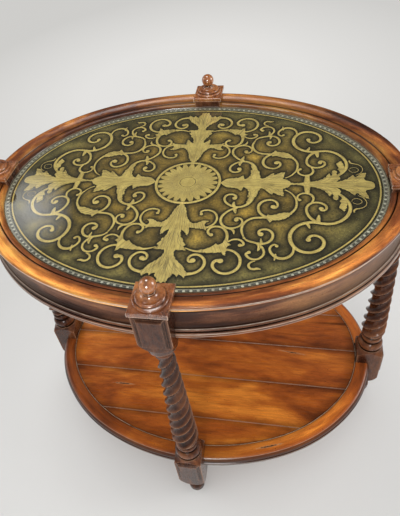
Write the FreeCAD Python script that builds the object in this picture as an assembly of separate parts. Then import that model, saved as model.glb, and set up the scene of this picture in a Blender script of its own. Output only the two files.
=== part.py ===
import FreeCAD, Part
import math
import os

Vector = FreeCAD.Vector
UP = Vector(0, 0, 1)
HALF_TURN = math.pi
FULL_TURN = 2 * math.pi
quarter_turn = 90

# The two levels above the floor, in millimetres, and the heights that are measured from them
panel_level = 620.0
shelf_level = 142.0
apron_drop_below_panel = 50.5
block_drop_below_apron = 27.5
collar_height = 23.0
block_rise_above_shelf = 30.0
block_drop_below_border = 52.0
base_turning_height = 56.0

# The oval that every rail, board and the glass follow: the edge of the glass opening
oval_half_length = 333.0
oval_half_width = 252.0
end_curve_power = 0.86
side_curve_power = 0.89
middle_curve_share = 0.433

# Decorated panel, its brass line, the beaded border, the glass and the board below
panel_thickness = 1.5
sub_top_thickness = 12.0
glass_thickness = 4.0
glass_arris = 0.8
glass_gap = 0.5
bead_border_height = 1.5
bead_border_width = 9.0
brass_line_inset = 14.0
brass_line_width = 2.4
brass_line_depth = 0.8
brass_line_stand = 0.2

# Moulded rim round the glass
rim_width = 35.0
rim_rise = 17.5
rim_seat_width = 8.0
rim_seat_thickness = 6.5
rim_tongue_width = 10.0
rim_joint_share = 0.24
rim_fillet_shares = [(0.89, 0.24), (0.89, 0.46), (0.95, 0.48), (0.95, 0.70), (1.0, 0.73)]
rim_top_shares = [(1.0, 0.90), (0.92, 1.0, 0.2), (0.62, 0.80, 0.05), (0.32, 0.64, -0.06), (0.28, 0.50),
                  (0.25, 0.58), (0.04, 0.42, 0.12), (0.0, 0.34)]

# Apron below the rim: a cove over a bead and a lower nosing
apron_cove_shares = [(0.97, 0.0), (1.0, 0.03, 0.2), (1.0, 0.10), (0.95, 0.155, 0.2), (0.88, 0.165),
                     (0.88, 0.18), (0.89, 0.26, 0.45), (0.89, 0.285), (0.83, 0.295), (0.81, 1.0, -0.14)]

# Leg blocks, their raised panels and the cap plates
block_size = 52.0
block_clear = 0.3
block_corner_relief = 0.6
panel_margin = 4.2
panel_step_heights = (1.6, 2.6)
panel_step_slopes = (1.4, 2.0)
upper_panel_top_margin = 4.0
upper_panel_base_margin = 25.0
lower_panel_top_margin = 3.0
lower_panel_base_margin = 41.0
cap_overhang = 2.5
cap_gap_above_rim = 0.5
cap_thickness = 6.5
cap_edge_radius = 1.2

# Turned stretches of the leg
upper_shoulder_height = 36.5
upper_shoulder_bulge_share = 0.12
upper_lip_height = 13.0
upper_lip_relief = 1.8
collar_radius = 15.6
collar_shares = [(0.86, 0.0), (0.88, 0.05), (0.88, 0.42, 0.22), (0.78, 0.46), (0.80, 1.0, -0.1)]
base_turning_relief = 1.0
base_turning_shares = [(1.0, 0.0), (1.0, 0.025), (0.84, 0.047), (0.80, 0.50, 0.23), (0.72, 0.523),
                       (0.70, 0.583), (0.70, 0.893, 0.27), (0.64, 0.917), (0.74, 1.0, -0.1)]
lower_dish_height = 9.0
lower_dish_bulge_share = -0.08
lower_shoulder_height = 34.0
lower_shoulder_bulge_share = 0.14
ankle_radius = 15.0

# Twisted shaft: hollow flutes that climb to the right between sharp ridges
twist_starts = 3
twist_turns = 3.67
twist_top_radius = 14.5
twist_base_relief = 0.5
flute_depth_share = 0.27
twist_end_length = 9.0
twist_end_share = 0.83
sections_per_turn = 10
points_per_flute = 8

# Finials with their tenons
finial_margin = 1.8
finial_height = 39.3
finial_shares = [(0.95, 0.0), (1.0, 0.055, 0.25), (0.95, 0.11, 0.25), (0.85, 0.125), (0.84, 0.175),
                 (0.72, 0.225, 0.2), (0.36, 0.335, -0.18), (0.31, 0.35), (0.31, 0.41, 0.35), (0.26, 0.42),
                 (0.275, 0.4275), (0.478, 0.682, 0.1225), (0.05, 0.9906, 0.191), (0.0, 0.9906)]
tenon_radius = 5.0
finial_tenon_bite = 20.5

# Turned feet with their tenons and glides
foot_radius = 16.5
glide_thickness = 2.0
foot_shares = [(0.55, 0.0), (1.0, 0.26, 0.18), (0.56, 0.54, 0.19), (0.50, 0.57), (0.50, 0.63),
               (0.72, 0.66), (0.72, 0.78, 0.4), (0.62, 0.80), (0.84, 1.0, -0.1)]
foot_tenon_radius = 6.0
foot_tenon_length = 25.0

# Shelf of boards inside a moulded border
board_thickness = 20.0
front_edge_board_width = 59.3
back_edge_board_width = 54.3
inner_board_count = 4
seam_width = 1.6
seam_depth = 1.0
border_width = 31.0
border_thickness = 30.0
border_lip_width = 10.0
border_edge_shares = [(0.82, 0.0), (0.90, 0.22, -0.15), (0.97, 0.24), (1.0, 0.40), (1.0, 0.52), (0.95, 0.56),
                      (0.70, 1.0, 0.22)]
batten_width = 40.0
batten_thickness = 18.0
batten_end_gap = 6.0
batten_place = 120.0
end_screw_inset = 8.0

# Joints, glue blocks and screws
dowel_radius = 3.5
dowel_length = 40.0
tenon_clearance = 0.1
apron_dowel_shares = (0.27, 0.67)
apron_dowel_setback = 3.0
glue_block_height = 20.0
glue_block_angle_shares = (0.44, 0.60)
screw_radius = 2.0
screw_head_radius = 4.0
screw_head_height = 2.4
seat_screw_bite = 7.5
batten_screw_bite = 14.4
screw_clearance = 0.15
end_screw_angle_share = 0.62
side_screw_angle_share = 0.40
overrun = 50.0

# Places that follow from the sizes above
glass_base_level = panel_level + bead_border_height
seat_level = panel_level - panel_thickness - sub_top_thickness
rim_base_level = seat_level - rim_seat_thickness
apron_top_level = panel_level + rim_joint_share * rim_rise
apron_base_level = panel_level - apron_drop_below_panel
shelf_base_level = shelf_level - board_thickness
border_base_level = shelf_level - border_thickness
block_top_level = panel_level + rim_rise + cap_gap_above_rim
upper_block_base_level = apron_base_level - block_drop_below_apron
twist_top_level = upper_block_base_level - collar_height
lower_block_top_level = shelf_level + block_rise_above_shelf
lower_block_base_level = border_base_level - block_drop_below_border
twist_base_level = lower_block_top_level + base_turning_height
half_block = block_size / 2
block_corner_reach = half_block * math.sqrt(2) + block_corner_relief
base_turning_radius = half_block - base_turning_relief
twist_base_radius = half_block - twist_base_relief
panel_width = block_size - 2 * panel_margin
cap_size = block_size + 2 * cap_overhang
finial_radius = cap_size / 2 - cap_edge_radius - finial_margin
finial_tenon_length = cap_thickness + finial_tenon_bite
glide_radius = foot_shares[0][0] * foot_radius
seat_screw_length = rim_seat_thickness + seat_screw_bite
batten_screw_length = batten_thickness - screw_head_height + batten_screw_bite
leg_reach_x = oval_half_length + block_clear + half_block
leg_reach_y = oval_half_width + block_clear + half_block
leg_places = {
    "front": (Vector(0, -leg_reach_y, 0), 0),
    "right": (Vector(leg_reach_x, 0, 0), quarter_turn),
    "back": (Vector(0, leg_reach_y, 0), 2 * quarter_turn),
    "left": (Vector(-leg_reach_x, 0, 0), 3 * quarter_turn),
}
quarters = {
    "back_right": (1, 1),
    "back_left": (-1, 1),
    "front_left": (-1, -1),
    "front_right": (1, -1),
}


def oval_arcs():
    """Arcs of the first quarter of the oval, each as centre, radius, first and last angle."""
    slimness = oval_half_length / oval_half_width
    end_radius = oval_half_width / slimness ** end_curve_power
    side_radius = oval_half_length * slimness ** side_curve_power
    middle_radius = end_radius + middle_curve_share * (side_radius - end_radius)
    end_centre = Vector(oval_half_length - end_radius, 0, 0)
    side_centre = Vector(0, oval_half_width - side_radius, 0)
    line = side_centre - end_centre
    near = middle_radius - end_radius
    far = side_radius - middle_radius
    along = (near ** 2 - far ** 2 + line.Length ** 2) / (2 * line.Length)
    across = math.sqrt(near ** 2 - along ** 2)
    unit = Vector(line).normalize()
    middle_centre = end_centre + unit * along + Vector(unit.y, -unit.x, 0) * across
    first = math.atan2(end_centre.y - middle_centre.y, end_centre.x - middle_centre.x)
    second = math.atan2(middle_centre.y - side_centre.y, middle_centre.x - side_centre.x)
    return [
        (end_centre, end_radius, 0, first),
        (middle_centre, middle_radius, first, second),
        (side_centre, side_radius, second, HALF_TURN / 2),
    ]


def direction(angle):
    return Vector(math.cos(angle), math.sin(angle), 0)


def oval_wire(offset, level):
    """The oval, moved outwards by an offset, as a closed wire of eight arcs."""
    end, middle, side = oval_arcs()
    first = end[3]
    second = middle[3]
    centre = middle[0]
    arcs = [
        (end[0], end[1], -first, first),
        (centre, middle[1], first, second),
        (side[0], side[1], second, HALF_TURN - second),
        (Vector(-centre.x, centre.y, 0), middle[1], HALF_TURN - second, HALF_TURN - first),
        (-end[0], end[1], HALF_TURN - first, HALF_TURN + first),
        (-centre, middle[1], HALF_TURN + first, HALF_TURN + second),
        (-side[0], side[1], HALF_TURN + second, FULL_TURN - second),
        (Vector(centre.x, -centre.y, 0), middle[1], FULL_TURN - second, FULL_TURN - first),
    ]
    edges = []
    for centre, radius, start, finish in arcs:
        points = []
        for angle in (start, (start + finish) / 2, finish):
            points.append(centre + direction(angle) * (radius + offset) + UP * level)
        edges.append(Part.Arc(*points).toShape())
    return Part.Wire(edges)


def oval_plate(offset, base, thickness):
    return Part.Face(oval_wire(offset, base)).extrude(UP * thickness)


def oval_ring(outer, inner, base, thickness):
    """A flat ring between two offsets of the oval."""
    return oval_plate(outer, base, thickness).cut(oval_plate(inner, base, thickness))


def oval_x(offset, y):
    """Where the offset oval crosses a line at a distance y from the long axis, near the end."""
    centre, radius, first, last = oval_arcs()[0]
    return centre.x + math.sqrt((radius + offset) ** 2 - y ** 2)


def oval_y(offset, x):
    """Where the offset oval crosses a line at a distance x from the short axis, near the side."""
    centre, radius, first, last = oval_arcs()[2]
    return centre.y + math.sqrt((radius + offset) ** 2 - x ** 2)


def outline_wire(points, across, origin):
    """A closed outline of (distance, level) points, with the solid on the left of its path.

    A third value bends the stretch that ends at its point outwards by that share of its length."""
    placed = [origin + across * point[0] + UP * point[1] for point in points]
    edges = []
    for index, point in enumerate(points):
        start = placed[index - 1]
        end = placed[index]
        if len(point) == 2:
            edges.append(Part.LineSegment(start, end).toShape())
            continue
        chord = end - start
        outward = across * chord.z - UP * chord.dot(across)
        middle = (start + end) * 0.5 + outward * point[2]
        edges.append(Part.Arc(start, middle, end).toShape())
    return Part.Wire(edges)


def scaled(shares, width, height, base=0):
    """Points of a table of shares at real size, with any bend kept."""
    return [(point[0] * width, base + point[1] * height) + tuple(point[2:]) for point in shares]


def turned(points):
    """A solid turned about the vertical axis from an outline that runs upwards from the axis."""
    wire = outline_wire(points, Vector(1, 0, 0), Vector(0, 0, 0))
    return Part.Face(wire).revolve(Vector(0, 0, 0), UP, 360)


def ring_quarter(points):
    """A moulding that follows the first quarter of the oval."""
    sectors = []
    for centre, radius, first, last in oval_arcs():
        across = direction(first)
        wire = outline_wire(points, across, centre + across * radius)
        sectors.append(Part.Face(wire).revolve(centre, UP, math.degrees(last - first)))
    return sectors[0].fuse(sectors[1:]).removeSplitter()


def ring_piece(points, arc_index, first_share, last_share):
    """A short length of moulding between two shares of one arc of the oval."""
    centre, radius, first, last = oval_arcs()[arc_index]
    start = first + (last - first) * first_share
    across = direction(start)
    wire = outline_wire(points, across, centre + across * radius)
    turn = (last - first) * (last_share - first_share)
    return Part.Face(wire).revolve(centre, UP, math.degrees(turn))


def in_quarter(shape, sides):
    """A shape of the first quarter, mirrored into the quarter named by the two sides."""
    side_x, side_y = sides
    if side_x < 0:
        shape = shape.mirror(Vector(0, 0, 0), Vector(1, 0, 0))
    if side_y < 0:
        shape = shape.mirror(Vector(0, 0, 0), Vector(0, 1, 0))
    return shape


def at_leg(shape, name):
    """A shape built at the origin and facing the front, carried to its leg."""
    place, turn = leg_places[name]
    moved = shape.copy()
    moved.rotate(Vector(0, 0, 0), UP, turn)
    moved.translate(place)
    return moved


def centred_box(size_x, size_y, base, top):
    return Part.makeBox(size_x, size_y, top - base, Vector(-size_x / 2, -size_y / 2, base))


def rod(radius, length, start, axis):
    return Part.makeCylinder(radius, length, start, axis)


def block_spaces():
    """The space of the four leg blocks, run inwards and outwards to trim the mouldings that meet them."""
    length = block_size + 2 * overrun
    post = centred_box(block_size, length, 0, block_top_level + overrun)
    return [at_leg(post, name) for name in leg_places]


def rim_outline():
    inner = [(-rim_seat_width, rim_base_level), (rim_tongue_width, rim_base_level),
             (rim_tongue_width, apron_top_level)]
    outer = scaled(rim_fillet_shares + rim_top_shares, rim_width, rim_rise, panel_level)
    seat = [(0, seat_level), (-rim_seat_width, seat_level)]
    return inner + outer + seat


def apron_outline():
    height = apron_top_level - apron_base_level
    outer = scaled(apron_cove_shares, rim_width, height, apron_base_level)
    return [(rim_tongue_width, apron_base_level)] + outer + [(rim_tongue_width, apron_top_level)]


def border_outline():
    outer = scaled(border_edge_shares, border_width, border_thickness, border_base_level)
    inner = [(seam_width / 2, shelf_level), (0, shelf_level - seam_depth), (0, shelf_base_level),
             (-border_lip_width, shelf_base_level), (-border_lip_width, border_base_level)]
    return outer + inner


def glue_block_outline():
    base = rim_base_level - glue_block_height
    return [(-rim_seat_width, base), (rim_tongue_width, base), (rim_tongue_width, rim_base_level),
            (-rim_seat_width, rim_base_level)]


def joint_rods(offset, level, radius, length):
    """Rods across the two block joints at the ends of the first quarter."""
    side_y = oval_y(offset, half_block)
    end_x = oval_x(offset, half_block)
    start = half_block - length / 2
    return [
        rod(radius, length, Vector(start, side_y, level), Vector(1, 0, 0)),
        rod(radius, length, Vector(end_x, start, level), Vector(0, 1, 0)),
    ]


def in_all_quarters(shapes):
    result = []
    for sides in quarters.values():
        for shape in shapes:
            result.append(in_quarter(shape, sides))
    return result


def apron_joint_rods(radius, length):
    offset = (rim_tongue_width + apron_cove_shares[-1][0] * rim_width) / 2 - apron_dowel_setback
    rods = []
    for share in apron_dowel_shares:
        level = apron_base_level + (apron_top_level - apron_base_level) * share
        rods += joint_rods(offset, level, radius, length)
    return in_all_quarters(rods)


def border_joint_rods(radius, length):
    level = (shelf_base_level + shelf_level) / 2
    return in_all_quarters(joint_rods(border_width / 2 - dowel_radius / 2, level, radius, length))


def raised_panel(base, top):
    """The raised field on the outer face of a block, in two bevelled steps."""
    steps = []
    width = panel_width
    front = -half_block
    for height, slope in zip(panel_step_heights, panel_step_slopes):
        loops = []
        for inset, reach in ((0, 0), (slope, height)):
            side = width / 2 - inset
            low = Vector(-side, front - reach, base + inset)
            high = Vector(side, front - reach, top - inset)
            loops.append(Part.makePolygon([low, Vector(high.x, low.y, low.z), high,
                                           Vector(low.x, low.y, high.z), low]))
        steps.append(Part.makeLoft(loops, True, True))
        front -= height
        width -= 4 * slope
        base += 2 * slope
        top -= 2 * slope
    return steps[0].fuse(steps[1])


def flute_section(level, radius, depth, turn):
    """One level of the twisted shaft: hollow flutes that meet in sharp ridges."""
    edges = []
    for start in range(twist_starts):
        points = []
        for step in range(points_per_flute + 1):
            share = step / points_per_flute
            reach = radius - depth * math.sin(HALF_TURN * share)
            angle = turn + FULL_TURN * (start + share) / twist_starts
            points.append(direction(angle) * reach + UP * level)
        curve = Part.BSplineCurve()
        curve.interpolate(Points=points)
        edges.append(curve.toShape())
    return Part.Wire(edges)


def twisted_shaft():
    height = twist_top_level - twist_base_level
    count = round(sections_per_turn * twist_turns)
    sections = []
    for index in range(count + 1):
        share = index / count
        radius = twist_base_radius + (twist_top_radius - twist_base_radius) * share
        end_gap = min(share, 1 - share) * height
        fade = min(1, end_gap / twist_end_length)
        swell = twist_end_share + (1 - twist_end_share) * math.sin(HALF_TURN / 2 * fade)
        depth = flute_depth_share * radius * fade
        level = twist_base_level + height * share
        sections.append(flute_section(level, radius * swell, depth, FULL_TURN * twist_turns * share))
    return Part.makeLoft(sections, True, False)


def upper_block():
    shoulder = upper_block_base_level + upper_shoulder_height
    profile = turned([
        (0, upper_block_base_level),
        (half_block - upper_lip_relief, upper_block_base_level),
        (half_block, upper_block_base_level + upper_lip_height),
        (block_corner_reach, shoulder, upper_shoulder_bulge_share),
        (block_corner_reach, block_top_level),
        (0, block_top_level),
    ])
    block = centred_box(block_size, block_size, upper_block_base_level, block_top_level)
    field = raised_panel(upper_block_base_level + upper_panel_base_margin,
                         block_top_level - upper_panel_top_margin)
    return block.common(profile).fuse(field)


def lower_block():
    dish_top = lower_block_top_level + lower_dish_height
    shoulder = lower_block_base_level + lower_shoulder_height
    profile = turned([
        (0, lower_block_base_level),
        (ankle_radius, lower_block_base_level),
        (block_corner_reach, shoulder, lower_shoulder_bulge_share),
        (block_corner_reach, lower_block_top_level - lower_dish_height / 2),
        (base_turning_radius, dish_top, lower_dish_bulge_share),
        (0, dish_top),
    ])
    block = centred_box(block_size, block_size, lower_block_base_level, dish_top)
    field = raised_panel(lower_block_base_level + lower_panel_base_margin,
                         lower_block_top_level - lower_panel_top_margin)
    return block.common(profile).fuse(field)


def leg_collar():
    height = upper_block_base_level - twist_top_level
    points = scaled(collar_shares, collar_radius, height, twist_top_level)
    return turned([(0, twist_top_level)] + points + [(0, upper_block_base_level)])


def leg_base_turning():
    base = lower_block_top_level + lower_dish_height
    points = scaled(base_turning_shares, base_turning_radius, twist_base_level - base, base)
    return turned([(0, base)] + points + [(0, twist_base_level)])


def leg_blank():
    """A leg at the origin that faces the front, before its holes."""
    stages = [upper_block(), leg_collar(), twisted_shaft(), leg_base_turning(), lower_block()]
    leg = stages[0].fuse(stages[1:])
    finial_hole = rod(tenon_radius + tenon_clearance, finial_tenon_bite + tenon_clearance,
                      Vector(0, 0, block_top_level), -UP)
    foot_hole = rod(foot_tenon_radius + tenon_clearance, foot_tenon_length + tenon_clearance,
                    Vector(0, 0, lower_block_base_level), UP)
    return leg.cut([finial_hole, foot_hole])


def cap_plate():
    plate = centred_box(cap_size, cap_size, block_top_level, block_top_level + cap_thickness)
    top_edges = [edge for edge in plate.Edges
                 if edge.BoundBox.ZMin > block_top_level + cap_thickness / 2]
    plate = plate.makeFillet(cap_edge_radius, top_edges)
    return plate.cut(rod(tenon_radius + tenon_clearance, cap_thickness, Vector(0, 0, block_top_level), UP))


def finial():
    base = block_top_level + cap_thickness
    body = turned([(0, base)] + scaled(finial_shares, finial_radius, finial_height, base))
    return body.fuse(rod(tenon_radius, finial_tenon_length, Vector(0, 0, base), -UP))


def foot():
    height = lower_block_base_level - glide_thickness
    points = scaled(foot_shares, foot_radius, height, glide_thickness)
    body = turned([(0, glide_thickness)] + points + [(0, lower_block_base_level)])
    return body.fuse(rod(foot_tenon_radius, foot_tenon_length, Vector(0, 0, lower_block_base_level), UP))


def glide():
    return rod(glide_radius, glide_thickness, Vector(0, 0, 0), UP)


def screw(length, place):
    """A screw driven upwards, with its head below the level of its place."""
    shank = rod(screw_radius, length, place, UP)
    head = rod(screw_head_radius, screw_head_height, place, -UP)
    return shank.fuse(head)


def seat_screw_places():
    """Points under the rim's seat, two in each quarter."""
    places = []
    for arc_index, share in ((0, end_screw_angle_share), (2, side_screw_angle_share)):
        centre, radius, first, last = oval_arcs()[arc_index]
        angle = first + (last - first) * share
        point = centre + direction(angle) * (radius - rim_seat_width / 2)
        for side_x, side_y in quarters.values():
            places.append(Vector(side_x * point.x, side_y * point.y, rim_base_level))
    return places


def board_edges():
    """The seams between the shelf boards, from the front, with the oval's two sides."""
    first = front_edge_board_width - oval_half_width
    last = oval_half_width - back_edge_board_width
    board_width = (last - first) / inner_board_count
    seams = [first + board_width * step for step in range(inner_board_count + 1)]
    return [-oval_half_width - overrun] + seams + [oval_half_width + overrun]


def batten_half_length():
    """Half of a batten, which ends inside the lip of the border."""
    return oval_y(-border_lip_width, batten_place + batten_width / 2) - batten_end_gap


def batten_screw_places():
    """Points on the face of each batten, one in the middle of each board that it crosses."""
    edges = board_edges()
    rows = [(low + high) / 2 for low, high in zip(edges[1:-2], edges[2:-1])]
    last = batten_half_length() - end_screw_inset
    rows = [-last] + rows + [last]
    level = shelf_base_level - batten_thickness + screw_head_height
    places = []
    for x in (-batten_place, batten_place):
        for y in rows:
            places.append(Vector(x, y, level))
    return places


def board_slab(low, high):
    """A straight board with its long top edges eased, before its ends are cut to the oval."""
    reach = oval_half_length + overrun
    ease = seam_width / 2
    outline = [(low, shelf_base_level), (high, shelf_base_level), (high, shelf_level - seam_depth),
               (high - ease, shelf_level), (low + ease, shelf_level), (low, shelf_level - seam_depth)]
    wire = outline_wire(outline, Vector(0, 1, 0), Vector(-reach, 0, 0))
    return Part.Face(wire).extrude(Vector(2 * reach, 0, 0))


def shelf_boards():
    whole = oval_plate(0, shelf_base_level, board_thickness)
    holes = [rod(screw_radius + screw_clearance, batten_screw_length, place, UP)
             for place in batten_screw_places()]
    edges = board_edges()
    return [board_slab(low, high).common(whole).cut(holes) for low, high in zip(edges, edges[1:])]


def shelf_batten(x):
    base = shelf_base_level - batten_thickness
    batten = Part.makeBox(batten_width, 2 * batten_half_length(), batten_thickness,
                          Vector(x - batten_width / 2, -batten_half_length(), base))
    holes = []
    for place in batten_screw_places():
        holes.append(rod(screw_radius + screw_clearance, batten_thickness, place, UP))
        holes.append(rod(screw_head_radius + screw_clearance, screw_head_height + screw_clearance,
                         place, -UP))
    return batten.cut(holes)


def top_panel_set():
    """The stack inside the rim, each piece by name."""
    line_outer = -brass_line_inset + brass_line_width / 2
    line_inner = line_outer - brass_line_width
    groove_base = panel_level - brass_line_depth
    groove = oval_ring(line_outer, line_inner, groove_base, brass_line_depth)
    line = oval_ring(line_outer, line_inner, groove_base, brass_line_depth + brass_line_stand)
    panel = oval_plate(-glass_gap, panel_level - panel_thickness, panel_thickness).cut(groove)
    border = oval_ring(-glass_gap, -glass_gap - bead_border_width, panel_level, bead_border_height)
    glass_top_level = glass_base_level + glass_thickness
    glass_levels = [
        oval_wire(-glass_gap, glass_base_level),
        oval_wire(-glass_gap, glass_top_level - glass_arris),
        oval_wire(-glass_gap - glass_arris, glass_top_level),
    ]
    pilot_radius = screw_radius + screw_clearance
    pilots = [rod(pilot_radius, seat_screw_length, place, UP) for place in seat_screw_places()]
    return {
        "sub_top": oval_plate(-glass_gap, seat_level, sub_top_thickness).cut(pilots),
        "decorated_panel": panel,
        "brass_line": line,
        "bead_border": border,
        "glass_top": Part.makeLoft(glass_levels, True, True),
    }


def build():
    """Every piece of the table by node name."""
    blocks = block_spaces()
    hole_radius = dowel_radius + tenon_clearance
    hole_length = dowel_length + 2 * tenon_clearance
    apron_holes = apron_joint_rods(hole_radius, hole_length)
    border_holes = border_joint_rods(hole_radius, hole_length)
    seat_holes = [rod(screw_radius + screw_clearance, rim_seat_thickness, place, UP)
                  for place in seat_screw_places()]

    rim = ring_quarter(rim_outline()).cut(blocks)
    apron = ring_quarter(apron_outline()).cut(blocks)
    border = ring_quarter(border_outline()).cut(blocks)
    glue_block = ring_piece(glue_block_outline(), 1, *glue_block_angle_shares)
    leg = leg_blank()

    pieces = {}
    for quarter, sides in quarters.items():
        pieces["rim_" + quarter] = in_quarter(rim, sides).cut(seat_holes)
        pieces["apron_" + quarter] = in_quarter(apron, sides).cut(apron_holes)
        pieces["shelf_border_" + quarter] = in_quarter(border, sides).cut(border_holes)
        pieces["glue_block_" + quarter] = in_quarter(glue_block, sides)
    for name in leg_places:
        pieces["leg_" + name] = at_leg(leg, name).cut(apron_holes + border_holes)
        pieces["cap_plate_" + name] = at_leg(cap_plate(), name)
        pieces["finial_" + name] = at_leg(finial(), name)
        pieces["foot_" + name] = at_leg(foot(), name)
    pieces.update(top_panel_set())
    for index, board in enumerate(shelf_boards()):
        pieces["shelf_board_" + str(index + 1)] = board
    pieces["shelf_batten_left"] = shelf_batten(-batten_place)
    pieces["shelf_batten_right"] = shelf_batten(batten_place)
    pieces["apron_dowels"] = Part.makeCompound(apron_joint_rods(dowel_radius, dowel_length))
    pieces["shelf_dowels"] = Part.makeCompound(border_joint_rods(dowel_radius, dowel_length))
    pieces["seat_screws"] = Part.makeCompound(
        [screw(seat_screw_length, place) for place in seat_screw_places()])
    pieces["batten_screws"] = Part.makeCompound(
        [screw(batten_screw_length, place) for place in batten_screw_places()])
    pieces["foot_glides"] = Part.makeCompound([at_leg(glide(), name) for name in leg_places])
    return pieces


os.makedirs("parts", exist_ok=True)
for node, shape in build().items():
    if not shape.isValid():
        raise ValueError(node + " is not a valid shape")
    shape.exportStep("parts/" + node + ".step")
    box = shape.BoundBox
    print(node, len(shape.Solids), "solids", round(shape.Volume / 1000, 1), "cm3",
          "z", round(box.ZMin, 1), "to", round(box.ZMax, 1))
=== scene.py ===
import math

import bmesh
import bpy
from mathutils import Matrix, Vector, kdtree


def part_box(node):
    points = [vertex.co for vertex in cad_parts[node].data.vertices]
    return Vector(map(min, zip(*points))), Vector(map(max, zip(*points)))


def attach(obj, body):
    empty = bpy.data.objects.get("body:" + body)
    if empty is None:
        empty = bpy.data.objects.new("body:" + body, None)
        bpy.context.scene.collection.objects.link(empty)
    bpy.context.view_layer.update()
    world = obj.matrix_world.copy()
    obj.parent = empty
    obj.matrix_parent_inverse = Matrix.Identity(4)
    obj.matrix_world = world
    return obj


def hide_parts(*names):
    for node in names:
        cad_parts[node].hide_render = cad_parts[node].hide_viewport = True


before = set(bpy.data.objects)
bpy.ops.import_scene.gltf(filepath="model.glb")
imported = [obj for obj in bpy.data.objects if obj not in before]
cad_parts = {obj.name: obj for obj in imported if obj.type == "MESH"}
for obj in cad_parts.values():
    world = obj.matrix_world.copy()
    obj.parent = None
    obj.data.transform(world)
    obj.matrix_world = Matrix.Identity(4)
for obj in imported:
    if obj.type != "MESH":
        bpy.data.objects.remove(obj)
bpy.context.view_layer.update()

bl_info = {
    "name": "Oval accent table",
    "version": (1, 0, 0),
    "blender": (4, 5, 0),
    "location": "3D View > Sidebar > Table",
    "description": "Finishes the packed solids of an oval accent table and adds its gilt ornament, "
                   "beads and stage",
    "category": "Object",
}

MM = 0.001
ROOT = "root"
QUARTERS = ("back_right", "back_left", "front_left", "front_right")
SIDES = ("front", "right", "back", "left")

# The opening of the rim, and the levels of the stack in it, read from the frame
PANEL_LOW, PANEL_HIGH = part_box("decorated_panel")
GLASS_GAP = 0.5 * MM
HALF_LENGTH = PANEL_HIGH.x + GLASS_GAP
HALF_WIDTH = PANEL_HIGH.y + GLASS_GAP
PANEL_LEVEL = PANEL_HIGH.z
GLASS_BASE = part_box("glass_top")[0].z

# Radii of the oval's arcs: powers of its slimness for the ends and the sides, and the share of the
# way between those two radii for the arcs in the middle
END_CURVE_POWER = 0.86
SIDE_CURVE_POWER = 0.89
MIDDLE_CURVE_SHARE = 0.433

# Distance of the gilt line from the edge of the opening
LINE_INSET = 14 * MM

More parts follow.
